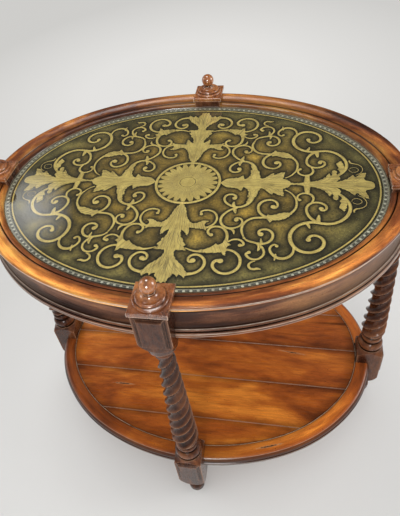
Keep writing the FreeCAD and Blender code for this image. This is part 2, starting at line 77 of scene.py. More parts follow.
# Scrolls of the ornament in one quarter of the panel, in millimetres: distance from the short axis,
# distance from the long axis, half of the width there
SCROLLS = {
    "leaf_curl": [(115, 12, 6.5), (115.5, 26, 5.4), (114.5, 39, 4.3), (111.5, 50, 3.4),
        (104.5, 58.5, 2.6), (95, 62.3, 2.3), (86, 61.2, 2.2), (77, 55.8, 2.2), (71, 48, 2.2),
        (69.6, 40, 2.2), (72.5, 33.5, 2.2), (79, 30.5, 2.3), (85.5, 32.5, 2.3), (88.5, 37.5, 2.3),
        (87.5, 41, 3.0)],
    "leaf_curl_spur": [(88, 62, 3), (86, 56, 3.1), (86.5, 50, 1.4)],
    "leaf_curl_thorn": [(88, 64, 3), (90, 72, 2.9), (91.5, 78, 1.1)],
    "inner_scroll": [(93, 64.5, 2.2), (85, 68, 2.2), (77, 75.5, 2.3), (71, 85, 2.4),
        (69.5, 94, 2.4), (71.5, 103, 2.3), (77, 109.5, 2.2), (85.5, 112.8, 2.0), (95, 111.2, 1.9),
        (101, 106.8, 1.9), (103.8, 101, 1.8), (104, 96, 1.8), (101.8, 91.5, 1.9), (97.3, 89, 2.0),
        (93.5, 90.5, 2.4), (93.2, 93.5, 3.0)],
    "bud_stem": [(109, 131, 1.4), (105.5, 121, 2.1), (104.5, 111, 2.3), (107, 101.5, 2.4),
        (112, 93.5, 2.4), (120, 88.3, 2.4), (130, 86.5, 2.4), (143, 86, 2.5)],
    "bud_curl": [(146, 86.5, 3), (137, 82.5, 2.6), (130.5, 75.5, 2.5), (127, 66, 2.6),
        (127.5, 56, 2.7), (132, 48, 2.6), (139, 43.6, 2.4), (147.5, 42.8, 2.3), (154, 47, 2.2),
        (157.2, 54, 2.2), (155.8, 60, 2.1), (152.5, 62.5, 2.4), (149.8, 61, 3.4)],
    "bud_arc": [(177.5, 75, 2.4), (183, 67.5, 2.2), (186.5, 58, 2.1), (187, 48, 2.0),
        (185.5, 38.5, 1.8), (181, 29, 1.5), (174.5, 21, 1.3), (167, 15.8, 1.1)],
    "middle_scroll": [(110.5, 134.5, 1.3), (115, 138.5, 2.0), (124, 142, 2.3), (134, 144.3, 2.4),
        (143, 143, 2.4), (149.5, 137.5, 2.4), (152.7, 129.5, 2.4), (151.8, 121, 2.4),
        (147.5, 115.3, 2.3), (141, 112.8, 2.3), (134.5, 114.5, 2.3), (131.2, 119, 2.3),
        (133, 123.5, 3.6)],
    "middle_spur": [(137, 143, 2.4), (136, 138, 1.8), (135.3, 133.5, 0.8)],
    "middle_leaf": [(131, 143, 3.0), (134, 149, 3.2), (133.6, 155, 2.4), (132.5, 160, 1.0)],
    "lower_curl": [(131, 146, 2.4), (136.5, 150, 2.2), (140.5, 157, 2.0), (141.5, 164.5, 2.0),
        (138.3, 172, 2.0), (131.5, 176.8, 2.0), (124, 176.3, 2.0), (118, 172, 2.2),
        (116, 166.5, 2.3), (118.2, 164.5, 2.6)],
    "lower_hook": [(130, 180.3, 1.2), (124.5, 182.8, 1.7), (121.5, 188, 1.9), (123.5, 194.3, 2.1),
        (128.5, 196.3, 2.3), (134, 194.9, 2.4), (139.5, 195.8, 0.8)],
    "trunk_arc": [(86.5, 143.5, 1.2), (91.5, 139, 1.6), (98.5, 137, 1.9), (105, 138.8, 2.0),
        (109.5, 143.5, 2.1), (110.3, 148, 2.1), (106.5, 150, 2.6)],
    "trunk": [(58.8, 129.4, 2.8), (55.4, 127.6, 2.4), (53, 122.5, 2.3), (53.8, 116.5, 2.3),
        (58.5, 111.8, 2.2), (66.5, 110.3, 2.2), (74.5, 112.8, 2.3), (80, 118.8, 2.5),
        (83.3, 127, 2.7), (84, 136, 2.8), (82, 146, 3.4)],
    "trunk_thorn": [(80.5, 113.5, 1.5), (87.5, 114.6, 2.2), (92.5, 119, 2.3), (93.6, 126, 1.0)],
    "root_stem": [(23, 160, 1.0), (32, 163.8, 1.7), (42, 165.8, 2.2), (52, 165.3, 2.6),
        (63, 163, 3.5)],
    "left_volute": [(31, 212.5, 3.4), (39, 211.3, 3.0), (46.5, 208.5, 2.7), (53, 202.5, 2.6),
        (56.7, 194, 2.6), (56.5, 185, 2.6), (52, 177.3, 2.5), (45, 173, 2.4), (38, 173.5, 2.4),
        (32.5, 178.3, 2.3), (31.8, 184.3, 2.2), (34.2, 187.6, 2.4), (38, 187, 3.4)],
    "right_volute": [(85, 159.5, 2.2), (93.5, 161.3, 2.3), (101, 166, 2.4), (106.5, 173.5, 2.5),
        (108.8, 183, 2.6), (107.3, 193, 2.6), (101.8, 201.5, 2.6), (93, 206.7, 2.6),
        (84, 207.2, 2.6), (75.5, 202.8, 2.6), (70, 195.5, 2.6), (69.7, 188, 2.8),
        (73.5, 183.2, 3.2), (78, 183, 3.6)],
    "shoulder_curl": [(36.6, 81.5, 2.4), (35.2, 77.8, 2.0), (37.3, 74.4, 1.9), (43, 72.3, 1.9),
        (51, 73.2, 1.9), (58.5, 78.5, 2.0), (62.5, 87, 2.0), (62.7, 97, 2.0), (59, 105.5, 2.0),
        (52, 112, 2.2), (44, 115, 2.4)],
    "great_scroll": [(249, 20, 2.4), (257.5, 28.5, 2.6), (264.5, 38, 2.8), (268.5, 48.5, 3.0),
        (269, 60, 3.0), (266, 71.5, 3.0), (259.5, 82.5, 3.0), (249.5, 91.5, 3.0), (238, 95.8, 3.0),
        (226, 95.5, 3.0), (214, 93.5, 3.1), (203, 95, 3.1), (192.5, 100, 3.2), (184.5, 108, 3.3),
        (179.5, 118.5, 3.4), (178.3, 130, 3.4), (181, 141.5, 3.3), (187, 151, 3.1),
        (196, 157.3, 3.0), (206, 158.6, 3.0), (216, 155.5, 3.0), (223.5, 149, 3.0),
        (227.3, 140, 2.9), (226.3, 131, 2.8), (220.5, 124.5, 2.7), (212.5, 122.8, 2.7),
        (206.5, 126.5, 2.8), (205, 131, 3.0)],
    "great_curl": [(216, 91.5, 3.2), (209.5, 85, 2.7), (204.5, 76, 2.5), (202.3, 66, 2.5),
        (203.5, 56.5, 2.5), (208.5, 49.8, 2.4), (216, 46.5, 2.3), (224, 47.2, 2.3),
        (230.5, 51.5, 2.3), (233.3, 58.5, 2.3), (230.3, 64.4, 2.2), (226, 65.4, 2.2),
        (224.8, 62.5, 3.0)],
    "great_spur": [(219.5, 94, 4.4), (220.5, 85, 3.6), (221.3, 76.5, 1.6)],
    "great_thorn": [(203.5, 97, 3), (206, 103, 2.5), (207.5, 108, 0.9)],
    "top_arc": [(190.5, 40.5, 2.2), (188.2, 36.5, 1.8), (188.6, 31, 1.8), (193, 26, 1.8),
        (200, 23.8, 2.0), (207, 25.3, 2.4), (212, 31, 2.5), (213.3, 38, 2.1), (210.5, 47, 1.6)],
    "top_stem": [(203.5, 2, 6.6), (203.3, 12, 5.2), (203.6, 20, 4.4), (205, 26, 2.4)],
    "hair_ring": [(272, 42, 0.5), (274.4, 36.4, 0.5), (280, 34.4, 0.5), (285.8, 37, 0.5),
        (287.6, 42.6, 0.5), (284, 47, 0.5), (277.8, 47.4, 0.5), (273.6, 44.6, 0.5)],
    "hair_curl": [(282.5, 27, 0.5), (289, 31, 0.6), (293.8, 39, 0.6), (294.3, 47, 0.6),
        (290, 54.5, 0.8), (283, 58.3, 1.1), (277, 60.3, 1.6), (274.6, 64, 1.6), (274.4, 68.5, 0.8)],
    "side_hook": [(183.4, 146, 1.6), (184, 155, 1.9), (181.5, 164, 2.3), (175.5, 170.3, 2.8),
        (168, 172.8, 3.1), (161, 171.5, 2.9), (154.5, 166, 2.4), (150.5, 159, 2.2), (150, 152, 2.1),
        (153.5, 146.5, 1.9), (156.5, 145.2, 1.9), (159.4, 147, 2.2)],
    "side_thorn": [(158.5, 164, 1.0), (158.5, 169, 2.2), (157.2, 177.5, 0.9)],
}

# The scrolls are laid a little thinner than they were measured, because gilding spreads in a picture
SCROLL_WEIGHT = 0.9

# Round ends of the scrolls and small knots, in millimetres: place and radius
KNOTS = [(86.3, 40.2, 3.9), (94.2, 93.6, 3.7), (150.2, 59.4, 4.3), (134.6, 124, 4.3),
         (119.6, 163.4, 3.1), (105.4, 149.6, 3.2), (58.8, 129.4, 3.4), (39, 185, 4.4),
         (79.8, 183.4, 4.5), (36.6, 82.4, 2.9), (205.2, 132.4, 3.9), (225, 61, 3.9),
         (191.6, 41.2, 2.8), (159.6, 148, 2.7), (110, 133.6, 2.1), (178.2, 75.4, 2.3)]

# Leaves, as outlines in millimetres. The first two start and end on an axis, and their mirror image
# completes them.
LONG_AXIS_LEAVES = [
    [(58, 0), (60, 2.5), (63.5, 6.5), (68, 10.5), (74, 12.3), (81, 13), (88, 14.5), (91.5, 17.5),
     (95, 21), (96.5, 16), (98, 10), (101, 12), (105, 16), (108, 22), (108.5, 29), (106.8, 36),
     (110, 38), (108, 44), (106.3, 52), (112, 47), (117, 38), (121.5, 33), (123, 24), (125.8, 14),
     (129, 12.5), (134, 15.5), (139, 21), (143, 26), (147.3, 28.5), (147.8, 23.5), (152, 25.5),
     (157.5, 29.5), (165.8, 32), (164.6, 22), (163.2, 13), (168, 11.3), (173.5, 7.5), (176.5, 2.4),
     (184, 1.6), (192, 2.6), (198, 4.4), (201.5, 2), (206, 5), (209, 6), (215, 7.3), (223, 10.5),
     (230, 15.5), (235, 21.5), (239.5, 30.5), (241.5, 23.5), (244, 26), (245, 37), (248.5, 39.5),
     (252, 36), (251.6, 28), (255, 22), (257, 17), (253, 11), (249.5, 5.8), (255, 8), (262, 11.5),
     (269, 16), (275, 23.5), (278, 26.5), (279.8, 21.5), (283, 20.5), (287, 26), (291, 30.5),
     (299, 33.5), (297.5, 25), (295, 17.5), (296.3, 12.5), (302, 10.5), (307, 8.5), (310, 4.5),
     (310.5, 0)],
]
SHORT_AXIS_LEAVES = [
    [(0, 57.5), (3.5, 60.5), (7.5, 67), (10.5, 75), (12, 83), (14, 90), (17, 96), (21, 102),
     (22, 108), (21, 113), (22.3, 120), (22.5, 126), (21.4, 132.5), (17.5, 127), (13.5, 122.3),
     (9.6, 120), (10.3, 130), (13, 138), (18, 143.5), (15.8, 145.5), (19, 149), (22.5, 154),
     (19, 157), (25, 165), (17, 164.8), (8.5, 165), (7, 171), (9, 178), (14, 186), (20.5, 192.5),
     (24, 195.5), (27.5, 200), (30.5, 206), (35, 211), (31.5, 220), (27, 215.5), (22.5, 213.3),
     (20.7, 218.5), (17.5, 214.5), (12.6, 212.5), (11.6, 219.5), (8.2, 222.5), (6.6, 230.5),
     (3, 228.6), (0, 232)],
]
QUARTER_LEAVES = [
    [(141, 84), (142.6, 78.5), (146, 80.6), (151, 80), (158, 77), (166, 74), (173, 73.2),
     (178, 74.6), (176.6, 80), (171.5, 86), (163, 90.6), (155, 91.6), (150.5, 91.8), (147, 97),
     (144.2, 92), (141, 88)],
    [(44, 164), (55, 160.5), (62, 156), (66, 152), (68.6, 148), (72, 151.5), (76, 149), (80, 144.5),
     (81.5, 138), (86.4, 138), (86.4, 145.5), (91.8, 149.6), (87, 152.5), (85.7, 157),
     (86.6, 161.5), (84.4, 165.5), (85.6, 172), (81.6, 170), (79, 165.3), (72, 166.8), (62, 168),
     (50, 168)],
    [(14, 95), (20, 102), (27, 105.3), (34, 103.5), (39.5, 99.3), (45, 98), (51.2, 98.8),
     (46.8, 102.3), (45, 108), (48, 112.5), (50, 120), (44, 116.8), (36, 116), (28, 115.2),
     (21, 114.5), (14, 112)],
    [(253, 24), (257.6, 32), (256.6, 38), (253.8, 42), (256.4, 46), (254, 52), (252.3, 58),
     (255.6, 61), (259.5, 66), (262.4, 60), (264.5, 52), (265.5, 44), (262.5, 34), (257.5, 26)],
]

# Engraved strokes on the leaves in one quarter, in millimetres
STROKES = [
    [(62, 1.6), (76, 6.4), (92, 8.5)], [(66, 1), (80, 3.4), (98, 4.4)],
    [(68, 0.4), (90, 0.6), (116, 0.5)], [(108, 15), (111.4, 29), (108.4, 43)],
    [(112.5, 12), (114.8, 25), (113, 38)], [(118, 13), (118.6, 22), (116, 30)],
    [(118, 4), (134, 11.5), (146, 25)], [(120, 3), (143, 12), (163, 29)],
    [(122, 1.6), (148, 6.4), (172, 7)], [(148, 10.5), (157, 18), (162, 27)],
    [(128, 1), (150, 2.6), (173, 2.6)], [(140, 15), (144, 20), (146, 25)],
    [(203.2, 5), (203.4, 19)], [(201, 7), (200.9, 18)], [(206, 8), (205.4, 18)],
    [(209, 3.4), (227, 10.4), (240, 26)], [(214, 2.4), (236, 11), (248.5, 36)],
    [(219, 1.6), (243, 8), (256, 20)], [(226, 12), (234, 18), (238, 25)],
    [(238, 16), (243.5, 25), (246.5, 35)], [(212, 1), (236, 3), (256, 4)],
    [(255.4, 27), (261, 41), (258.6, 60)], [(258.5, 31), (263, 46)], [(255.5, 46), (259, 53)],
    [(254, 4.6), (275, 9.5), (289, 27)], [(257, 3.4), (281, 8.6), (297, 30)],
    [(262, 1.4), (288, 4.4), (306, 5)], [(268, 12.4), (274, 18), (277, 24)],
    [(282, 13), (287, 21), (292, 28)], [(258, 0.4), (284, 0.8), (308, 1)],
    [(0.4, 62), (0.6, 82), (0.5, 104)], [(2, 62), (6, 80), (9, 99)],
    [(1.2, 64), (3.4, 84), (5, 108)], [(3.6, 67), (10.6, 86), (14.6, 98)],
    [(11, 97), (18.4, 112), (21.4, 127)], [(8, 98), (14.6, 109), (18, 121)],
    [(18, 101), (30, 108), (46, 100.5)], [(18, 105), (32, 110.4), (48, 117)],
    [(16, 109), (30, 112), (44, 113)], [(0.4, 108), (0.6, 136), (0.5, 160)],
    [(3, 110), (6, 131), (14, 143)], [(6, 118), (9, 139), (18, 154)],
    [(2, 116), (3.4, 140), (8, 161)], [(4.4, 126), (9, 146), (20, 162)],
    [(11, 143.4), (16.6, 148.6)], [(11, 152), (17, 156)], [(0.4, 166), (0.5, 196), (0.6, 226)],
    [(3, 170), (9, 191), (31, 215)], [(2, 172), (6, 197), (20, 212)],
    [(1.4, 176), (3.6, 202), (10, 214)], [(5, 177), (14, 196), (33, 211)],
    [(1, 182), (2, 206), (5.4, 226)], [(7, 185), (18, 201), (27, 213)],
    [(12, 200), (19, 208), (25, 213.6)], [(48, 165.6), (66, 160), (83, 142)],
    [(50, 166.4), (70, 160), (88, 150)], [(60, 166.4), (74, 161), (84, 161)],
    [(60, 161), (68, 152)], [(70, 157.6), (76, 151.6)], [(72, 163.6), (82.6, 168.4)],
    [(80, 152), (84, 146), (84, 140)], [(144, 88), (158, 83), (176, 76)],
    [(145, 84.6), (160, 79), (172, 75.6)], [(147, 90), (158, 88), (170, 82)],
    [(134, 146), (134.5, 152), (133.4, 157)], [(87, 59), (87.6, 53)], [(90, 68), (91, 75)],
]

# Half of a stroke's width in millimetres, its share at the tips, the share of its height that is
# kept, and how high it lies on the gilding
STROKE_WIDTH = 0.34
STROKE_TIP = 0.35
STROKE_FLATNESS = 0.12
STROKE_LIFT = 0.32 * MM

# Strokes that run outwards on the medallion: their turn in steps, start, end and number
RADIAL_STROKES = ((0.0, 17, 42, 48), (0.5, 26, 36, 48))

# Old dents in the top of the shelf, in millimetres: middle, half of the length, turn from the boards
DENTS = [(-180, -132.6, 28, 0.0), (194, -14, 32, -0.11), (155, -237, 30, 0.32)]

# Ring at the top of the twist, painted bright between grooves of painted shade: its two levels in
# millimetres
COLLAR_RING = (519.5, 529.5)

# The medallion and its ring, in millimetres
MEDALLION_RING = (54.0, 58.0)
MEDALLION_RADIUS = 52.3
MEDALLION_NOTCHES = 24
NOTCH_DEPTH = 10
NOTCH_WIDTH = 8.4
MEDALLION_EYE = (13.2, 14.6)

# How the gilding is laid: levels as shares of its thickness above the panel, edges and joins
SCROLL_LEVEL = 0.1
LEAF_LEVEL = 0.35
MEDALLION_LEVEL = 0.4
LEAF_STEP = 0.02 * MM
RING_EDGE = 0.3 * MM
LEAF_EDGE = 0.15 * MM
JOIN_REACH = 0.01 * MM
WIDEST_SCROLL = 3 * MM

# Beads and their strip: the height of a bead as a share of the room under the glass, and levels
BEAD_SHARE = 0.36
BEAD_LEVEL = 0.45 * MM
STRIP_STEPS = 240
STRIP_GAP = 0.8 * MM
STRIP_THICKNESS = 0.35 * MM
# Painted shade on the strip along the line of the beads, between them: its width and its stops
BEAD_SHADE_WIDTH = 4 * MM
BEAD_SHADE_STOPS = [(0.35, 0.30), (0.62, 1)]

# Teeth on the long sides of the leaves: the shortest such side and the depth in millimetres, and
# the tooth's two points as shares of the side and of the depth
TOOTH_SIDE = 6.5
TOOTH_DEPTH = 0.8
TOOTH_RISE = (0.50, 0.8)
TOOTH_FALL = (0.56, -1.0)

# Corners of an outline that turn by more than this stay sharp
TIP_ANGLE = math.radians(50)


class Oval:
    """The oval of tangent arcs that the rim, the glass and the shelf follow."""

    def __init__(self):
        slimness = HALF_LENGTH / HALF_WIDTH
        end = HALF_WIDTH / slimness ** END_CURVE_POWER
        side = HALF_LENGTH * slimness ** SIDE_CURVE_POWER
        middle = end + MIDDLE_CURVE_SHARE * (side - end)
        end_centre = Vector((HALF_LENGTH - end, 0))
        side_centre = Vector((0, HALF_WIDTH - side))
        line = side_centre - end_centre
        near = middle - end
        far = side - middle
        along = (near ** 2 - far ** 2 + line.length ** 2) / (2 * line.length)
        across = math.sqrt(near ** 2 - along ** 2)
        unit = line.normalized()
        middle_centre = end_centre + unit * along + Vector((unit.y, -unit.x)) * across
        first = math.atan2(end_centre.y - middle_centre.y, end_centre.x - middle_centre.x)
        second = math.atan2(middle_centre.y - side_centre.y, middle_centre.x - side_centre.x)
        self.arcs = [(end_centre, end, 0, first), (middle_centre, middle, first, second),
                     (side_centre, side, second, math.pi / 2)]

    def offset(self, x, y):
        """How far a point lies outside the oval; inside it the value is negative."""
        point = Vector((abs(x), abs(y)))
        for centre, radius, _, last in self.arcs:
            arm = point - centre
            if math.atan2(arm.y, arm.x) <= last:
                break
        return arm.length - radius

    def reach(self, angle):
        """Distance from the middle of the oval to its edge in one direction."""
        step = Vector((abs(math.cos(angle)), abs(math.sin(angle))))
        for centre, radius, _, last in self.arcs:
            along = step.dot(centre)
            far = along + math.sqrt(along ** 2 - centre.length_squared + radius ** 2)
            arm = step * far - centre
            if math.atan2(arm.y, arm.x) <= last:
                break
        return far

    def points(self, offset, count):
        """Evenly spaced points round the oval at an offset from it."""
        lengths = [(radius + offset) * (last - first) for _, radius, first, last in self.arcs]
        quarter = sum(lengths)
        places = []
        for index in range(count):
            run = 4 * quarter * (index + 0.5) / count
            turn, rest = divmod(run, quarter)
            if turn % 2:
                rest = quarter - rest
            for (centre, radius, first, _), stretch in zip(self.arcs, lengths):
                if rest <= stretch:
                    break
                rest -= stretch
            angle = first + rest / (radius + offset)
            place = centre + Vector((math.cos(angle), math.sin(angle))) * (radius + offset)
            sign = Vector((-1 if turn in (1, 2) else 1, -1 if turn in (2, 3) else 1))
            places.append(place * sign)
        return places


OVAL = Oval()


# Noise patterns: scale, detail, roughness and distortion
PATTERNS = {
    "grain": (420.0, 4.0, 0.65, 0.2),
    "dark specks": (330.0, 1.0, 0.5, 0.0),
    "fine speckle": (620.0, 2.0, 0.6, 0.0),
    "long marks": (42.0, 2.0, 0.5, 0.3),
    "broken wear and highlight": (70.0, 3.0, 0.65, 0.0),
    "streaks": (90.0, 3.0, 0.6, 0.0),
    "smoke": (14.0, 3.0, 0.5, 0.0),
    "ragged dents": (220.0, 2.0, 0.5, 0.0),
    "unstained grain": (180.0, 4.0, 0.6, 0.0),
    "gilt patches": (60.0, 4.0, 0.6, 0.0),
    "gilt relief": (500.0, 2.0, 0.6, 0.0),
    "gilt fan": (110.0, 2.0, 0.6, 0.4),
    "stroke stain": (400.0, 2.0, 0.6, 0.0),
    "ground clouds": (16.0, 3.0, 0.55, 0.0),
    "ground mottle": (330.0, 3.0, 0.65, 0.0),
    "strip mottle": (300.0, 3.0, 0.6, 0.0),
    "bead dirt": (180.0, 2.0, 0.6, 0.0),
    "steel grain": (900.0, 2.0, 0.6, 0.0),
    "felt pile": (1500.0, 3.0, 0.7, 0.0),
}

# Detail, roughness and distortion of the stain's mottling; the fine one is so many times finer
BROAD_MOTTLE = (4.0, 0.6, 0.8)
FINE_MOTTLE = (4.0, 0.65, 0.0)
FINER = 6
MOTTLE_SHARES = (0.76, 0.24)
MOTTLE_STOPS = (0.36, 0.46, 0.54, 0.63)

# Marks in stained wood: pattern, whether it follows the grain, how much it shows, its stops
WOOD_MARKS = (
    ("grain", True, 0.5, [(0.3, 0.5), (0.7, 1.35)]),
    ("dark specks", False, 0.85, [(0.24, 0.12), (0.29, 1)]),
    ("fine speckle", False, 0.5, [(0.32, 0.62), (0.68, 1.38)]),
    ("long marks", True, 0.7, [(0.25, 0.14), (0.36, 1)]),
)

# Painted shade in the quirks: reach in millimetres, and the shares of light where it is black and gone
QUIRK_SHADE = ((9, 0.46, 0.88), (2.6, 0.38, 0.80))
QUIRK_SHADE_TONE = 0.06
QUIRK_SHADE_AMOUNT = 0.94

# Stops of ridges and arrises painted pale as wear and highlight, and samples of the light that finds them
RIDGE_WEAR_AND_HIGHLIGHT_STOPS = (0.06, 0.42)
ARRIS_WEAR_AND_HIGHLIGHT_STOPS = [(0.22, 0), (0.42, 0.85)]
EDGE_SAMPLES = 6

# Surfaces: roughness that the grain adds, roughness of the varnish, and reliefs as strength and depth
GRAIN_ROUGHNESS = 0.14
VARNISH_ROUGHNESS = 0.08
GRAIN_RELIEF = (0.25, 0.3 * MM)
FINE_RELIEF = (0.3, 0.2 * MM)


def feed(tree, node, inputs):
    """Sets a node's inputs; each is a value or the socket that feeds it."""
    for key, value in inputs.items():
        if isinstance(value, bpy.types.NodeSocket):
            tree.links.new(value, node.inputs[key])
        else:
            node.inputs[key].default_value = value


def add(tree, kind, inputs=(), **settings):
    """Adds a shader node with its settings and inputs."""
    made = tree.nodes.new("ShaderNode" + kind)
    for name, value in settings.items():
        setattr(made, name, value)
    feed(tree, made, dict(inputs))
    return made


def new_material(name):
    material = bpy.data.materials.new(name)
    material.use_nodes = True
    tree = material.node_tree
    tree.nodes.clear()
    shader = add(tree, "BsdfPrincipled")
    add(tree, "OutputMaterial", {"Surface": shader.outputs[0]})
    return material, tree, shader


def grey(value):
    return (value, value, value, 1)


def rgba(colour):
    return (*colour[:3], 1)


def calc(tree, operation, first, second=0.0, clamp=False):
    return add(tree, "Math", {0: first, 1: second}, operation=operation, use_clamp=clamp).outputs[0]


def vector_math(tree, operation, first, second=(0, 0, 0)):
    return add(tree, "VectorMath", {0: first, 1: second}, operation=operation).outputs[0]


def length(tree, vector):
    return add(tree, "VectorMath", {0: vector}, operation="LENGTH").outputs["Value"]


def ramp(tree, factor, stops):
    """A colour ramp from (position, colour) stops; a single number stands for a grey."""
    made = add(tree, "ValToRGB", {0: factor})
    elements = made.color_ramp.elements
    while len(elements) < len(stops):
        elements.new(0.5)
    for element, (position, colour) in zip(elements, stops):
        element.position = position
        element.color = grey(colour) if isinstance(colour, (int, float)) else rgba(colour)
    return made.outputs[0]


def share_ramp(tree, value, low, high, stops):
    """A ramp over a length between two limits, with its stops at shares of the way."""
    share = calc(tree, "DIVIDE", calc(tree, "SUBTRACT", value, low), high - low)
    return ramp(tree, share, stops)


def mix(tree, factor, first, second, blend="MIX"):
    inputs = {0: factor, 6: first, 7: second}
    return add(tree, "Mix", inputs, data_type="RGBA", blend_type=blend).outputs[2]


def multiply(tree, colour, tone, amount=1.0):
    return mix(tree, amount, colour, tone, "MULTIPLY")


def object_place(tree):
    return add(tree, "TexCoord").outputs["Object"]


def object_vector(tree, scale=(1, 1, 1)):
    return add(tree, "Mapping", {"Vector": object_place(tree), "Scale": scale}).outputs[0]


def object_parts(tree):
    return add(tree, "SeparateXYZ", {0: object_place(tree)}).outputs


def noise(tree, vector, scale, detail, roughness, distortion):
    inputs = {"Vector": vector, "Scale": scale, "Detail": detail, "Roughness": roughness,
              "Distortion": distortion}
    return add(tree, "TexNoise", inputs).outputs[0]


def pattern(tree, name, vector=None):
    """A named noise pattern, on a vector or on the object's own coordinates."""
    if vector is None:
        vector = object_vector(tree)
    return noise(tree, vector, *PATTERNS[name])


def oval_offset(tree):
    """How far outside the oval a place lies, as Oval.offset finds it."""
    x, y = [calc(tree, "ABSOLUTE", socket) for socket in object_parts(tree)[:2]]
    result = None
    for centre, radius, first, _ in OVAL.arcs:
        across = calc(tree, "SUBTRACT", x, centre.x)
        along = calc(tree, "SUBTRACT", y, centre.y)
        arm = add(tree, "CombineXYZ", {0: across, 1: along}).outputs[0]
        offset = calc(tree, "SUBTRACT", length(tree, arm), radius)
        if result is None:
            result = offset
            continue
        side = calc(tree, "SUBTRACT", calc(tree, "MULTIPLY", along, math.cos(first)),
                    calc(tree, "MULTIPLY", across, math.sin(first)))
        beyond = calc(tree, "GREATER_THAN", side, 0.0)
        change = calc(tree, "SUBTRACT", offset, result)
        result = calc(tree, "ADD", result, calc(tree, "MULTIPLY", beyond, change))
    return result


def round_vector(tree, along_share):
    """Coordinates that run round the oval, across it and up, for mouldings that follow it."""
    parts = object_parts(tree)
    x = calc(tree, "DIVIDE", parts[0], HALF_LENGTH)
    y = calc(tree, "DIVIDE", parts[1], HALF_WIDTH)
    mean = (HALF_LENGTH + HALF_WIDTH) / 2
    run = calc(tree, "MULTIPLY", calc(tree, "ARCTAN2", y, x), mean * along_share)
    return add(tree, "CombineXYZ", {0: run, 1: oval_offset(tree), 2: parts[2]}).outputs[0]


def bump(tree, height, relief):
    strength, depth = relief
    inputs = {"Height": height, "Strength": strength, "Distance": depth}
    return add(tree, "Bump", inputs).outputs[0]


def own_light(tree, reach, inside=False):
    """Light that reaches a place past its own piece alone, from outside or from within."""
    inputs = {"Distance": reach}
    made = add(tree, "AmbientOcclusion", inputs, samples=EDGE_SAMPLES, only_local=True, inside=inside)
    return made.outputs["AO"]


def outer_arris_mask(tree, reach):
    """1 along outer arrises and 0 on open faces."""
    return calc(tree, "SUBTRACT", 1.0, own_light(tree, reach, inside=True))


def wood_colour(tree, cloud_vector, grain_vector, tones, mottle_scale):
    """Stain in burnished patches with finer mottling, grain, dark specks and long dark marks."""
    broad = noise(tree, cloud_vector, mottle_scale, *BROAD_MOTTLE)
    fine = noise(tree, cloud_vector, mottle_scale * FINER, *FINE_MOTTLE)
    parts = [calc(tree, "MULTIPLY", part, share) for part, share in zip((broad, fine), MOTTLE_SHARES)]
    colour = ramp(tree, calc(tree, "ADD", *parts), list(zip(MOTTLE_STOPS, tones)))
    marks = {}
    for name, follows, amount, stops in WOOD_MARKS:
        marks[name] = pattern(tree, name, grain_vector if follows else None)
        colour = multiply(tree, colour, ramp(tree, marks[name], stops), amount)
    return colour, marks["grain"]


def wood_material(name, vectors, tones, mottle_scale, shade=None, glint=None, gloss=0.24, coat=0.3,
                  specular=0.3, coat_ior=1.5, arris=(0.62, 0.44, 0.30), arris_reach=1.6 * MM,
                  quirk_shading=QUIRK_SHADE, ridge_wear_and_highlight=None):
    """Stained wood under varnish, darker and dull in its quirks with painted shade, and pale along
    its arrises as wear and as painted highlight.

    The vectors make the coordinates of the mottling and of the grain. A glint places pale lines of
    painted highlight; without it wear and painted highlight lie wherever an arris is sharp. Ridges
    painted pale as wear and as highlight are given by their reach in millimetres, strength and colour.
    """
    material, tree, shader = new_material(name)
    cloud_vector, grain_vector = [make(tree) for make in vectors]
    colour, grain = wood_colour(tree, cloud_vector, grain_vector, tones, mottle_scale)
    if shade:
        colour = shade(tree, colour)
    polish = coat
    # Painted shade: darker, and with less varnish, where little light gets in past the piece itself
    for reach, black, clean in quirk_shading:
        shadow = ramp(tree, own_light(tree, reach * MM), [(black, QUIRK_SHADE_TONE), (clean, 1)])
        colour = multiply(tree, colour, shadow, QUIRK_SHADE_AMOUNT)
        polish = calc(tree, "MULTIPLY", shadow, polish)
    # Ridges painted pale, as wear and as highlight
    if ridge_wear_and_highlight:
        reach, strength, tone = ridge_wear_and_highlight
        rounded = ramp(tree, outer_arris_mask(tree, reach * MM), list(zip(RIDGE_WEAR_AND_HIGHLIGHT_STOPS, (0, strength))))
        colour = mix(tree, rounded, colour, rgba(tone))
    # Pale lines of painted highlight where a glint places them, else arrises painted pale as wear and
    # highlight
    broken = pattern(tree, "broken wear and highlight")
    if glint:
        edge_wear_and_glint = calc(tree, "MULTIPLY", glint(tree), broken, clamp=True)
    else:
        twice = calc(tree, "MULTIPLY", broken, 2.0)
        edge_wear_and_glint = ramp(tree, calc(tree, "MULTIPLY", outer_arris_mask(tree, arris_reach), twice), ARRIS_WEAR_AND_HIGHLIGHT_STOPS)
    feed(tree, shader, {
        "Base Color": mix(tree, edge_wear_and_glint, colour, rgba(arris)),
        "Roughness": ramp(tree, grain, [(0.3, gloss + GRAIN_ROUGHNESS), (0.7, gloss)]),
        "Specular IOR Level": specular,
        "Coat Weight": polish,
        "Coat Roughness": VARNISH_ROUGHNESS,
        "Coat IOR": coat_ior,
        "Normal": bump(tree, grain, GRAIN_RELIEF),
    })
    return material


def mottled_material(name, mottle, stops, roughness, metallic=0.0, scale=(1, 1, 1)):
    """A material whose colour changes with one named noise pattern."""
    material, tree, shader = new_material(name)
    colour = ramp(tree, pattern(tree, mottle, object_vector(tree, scale)), stops)
    feed(tree, shader, {"Base Color": colour, "Roughness": roughness, "Metallic": metallic})
    return material


def dress(node, material):
    """Gives a CAD node its finished material."""
    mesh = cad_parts[node].data
    mesh.materials.clear()
    mesh.materials.append(material)


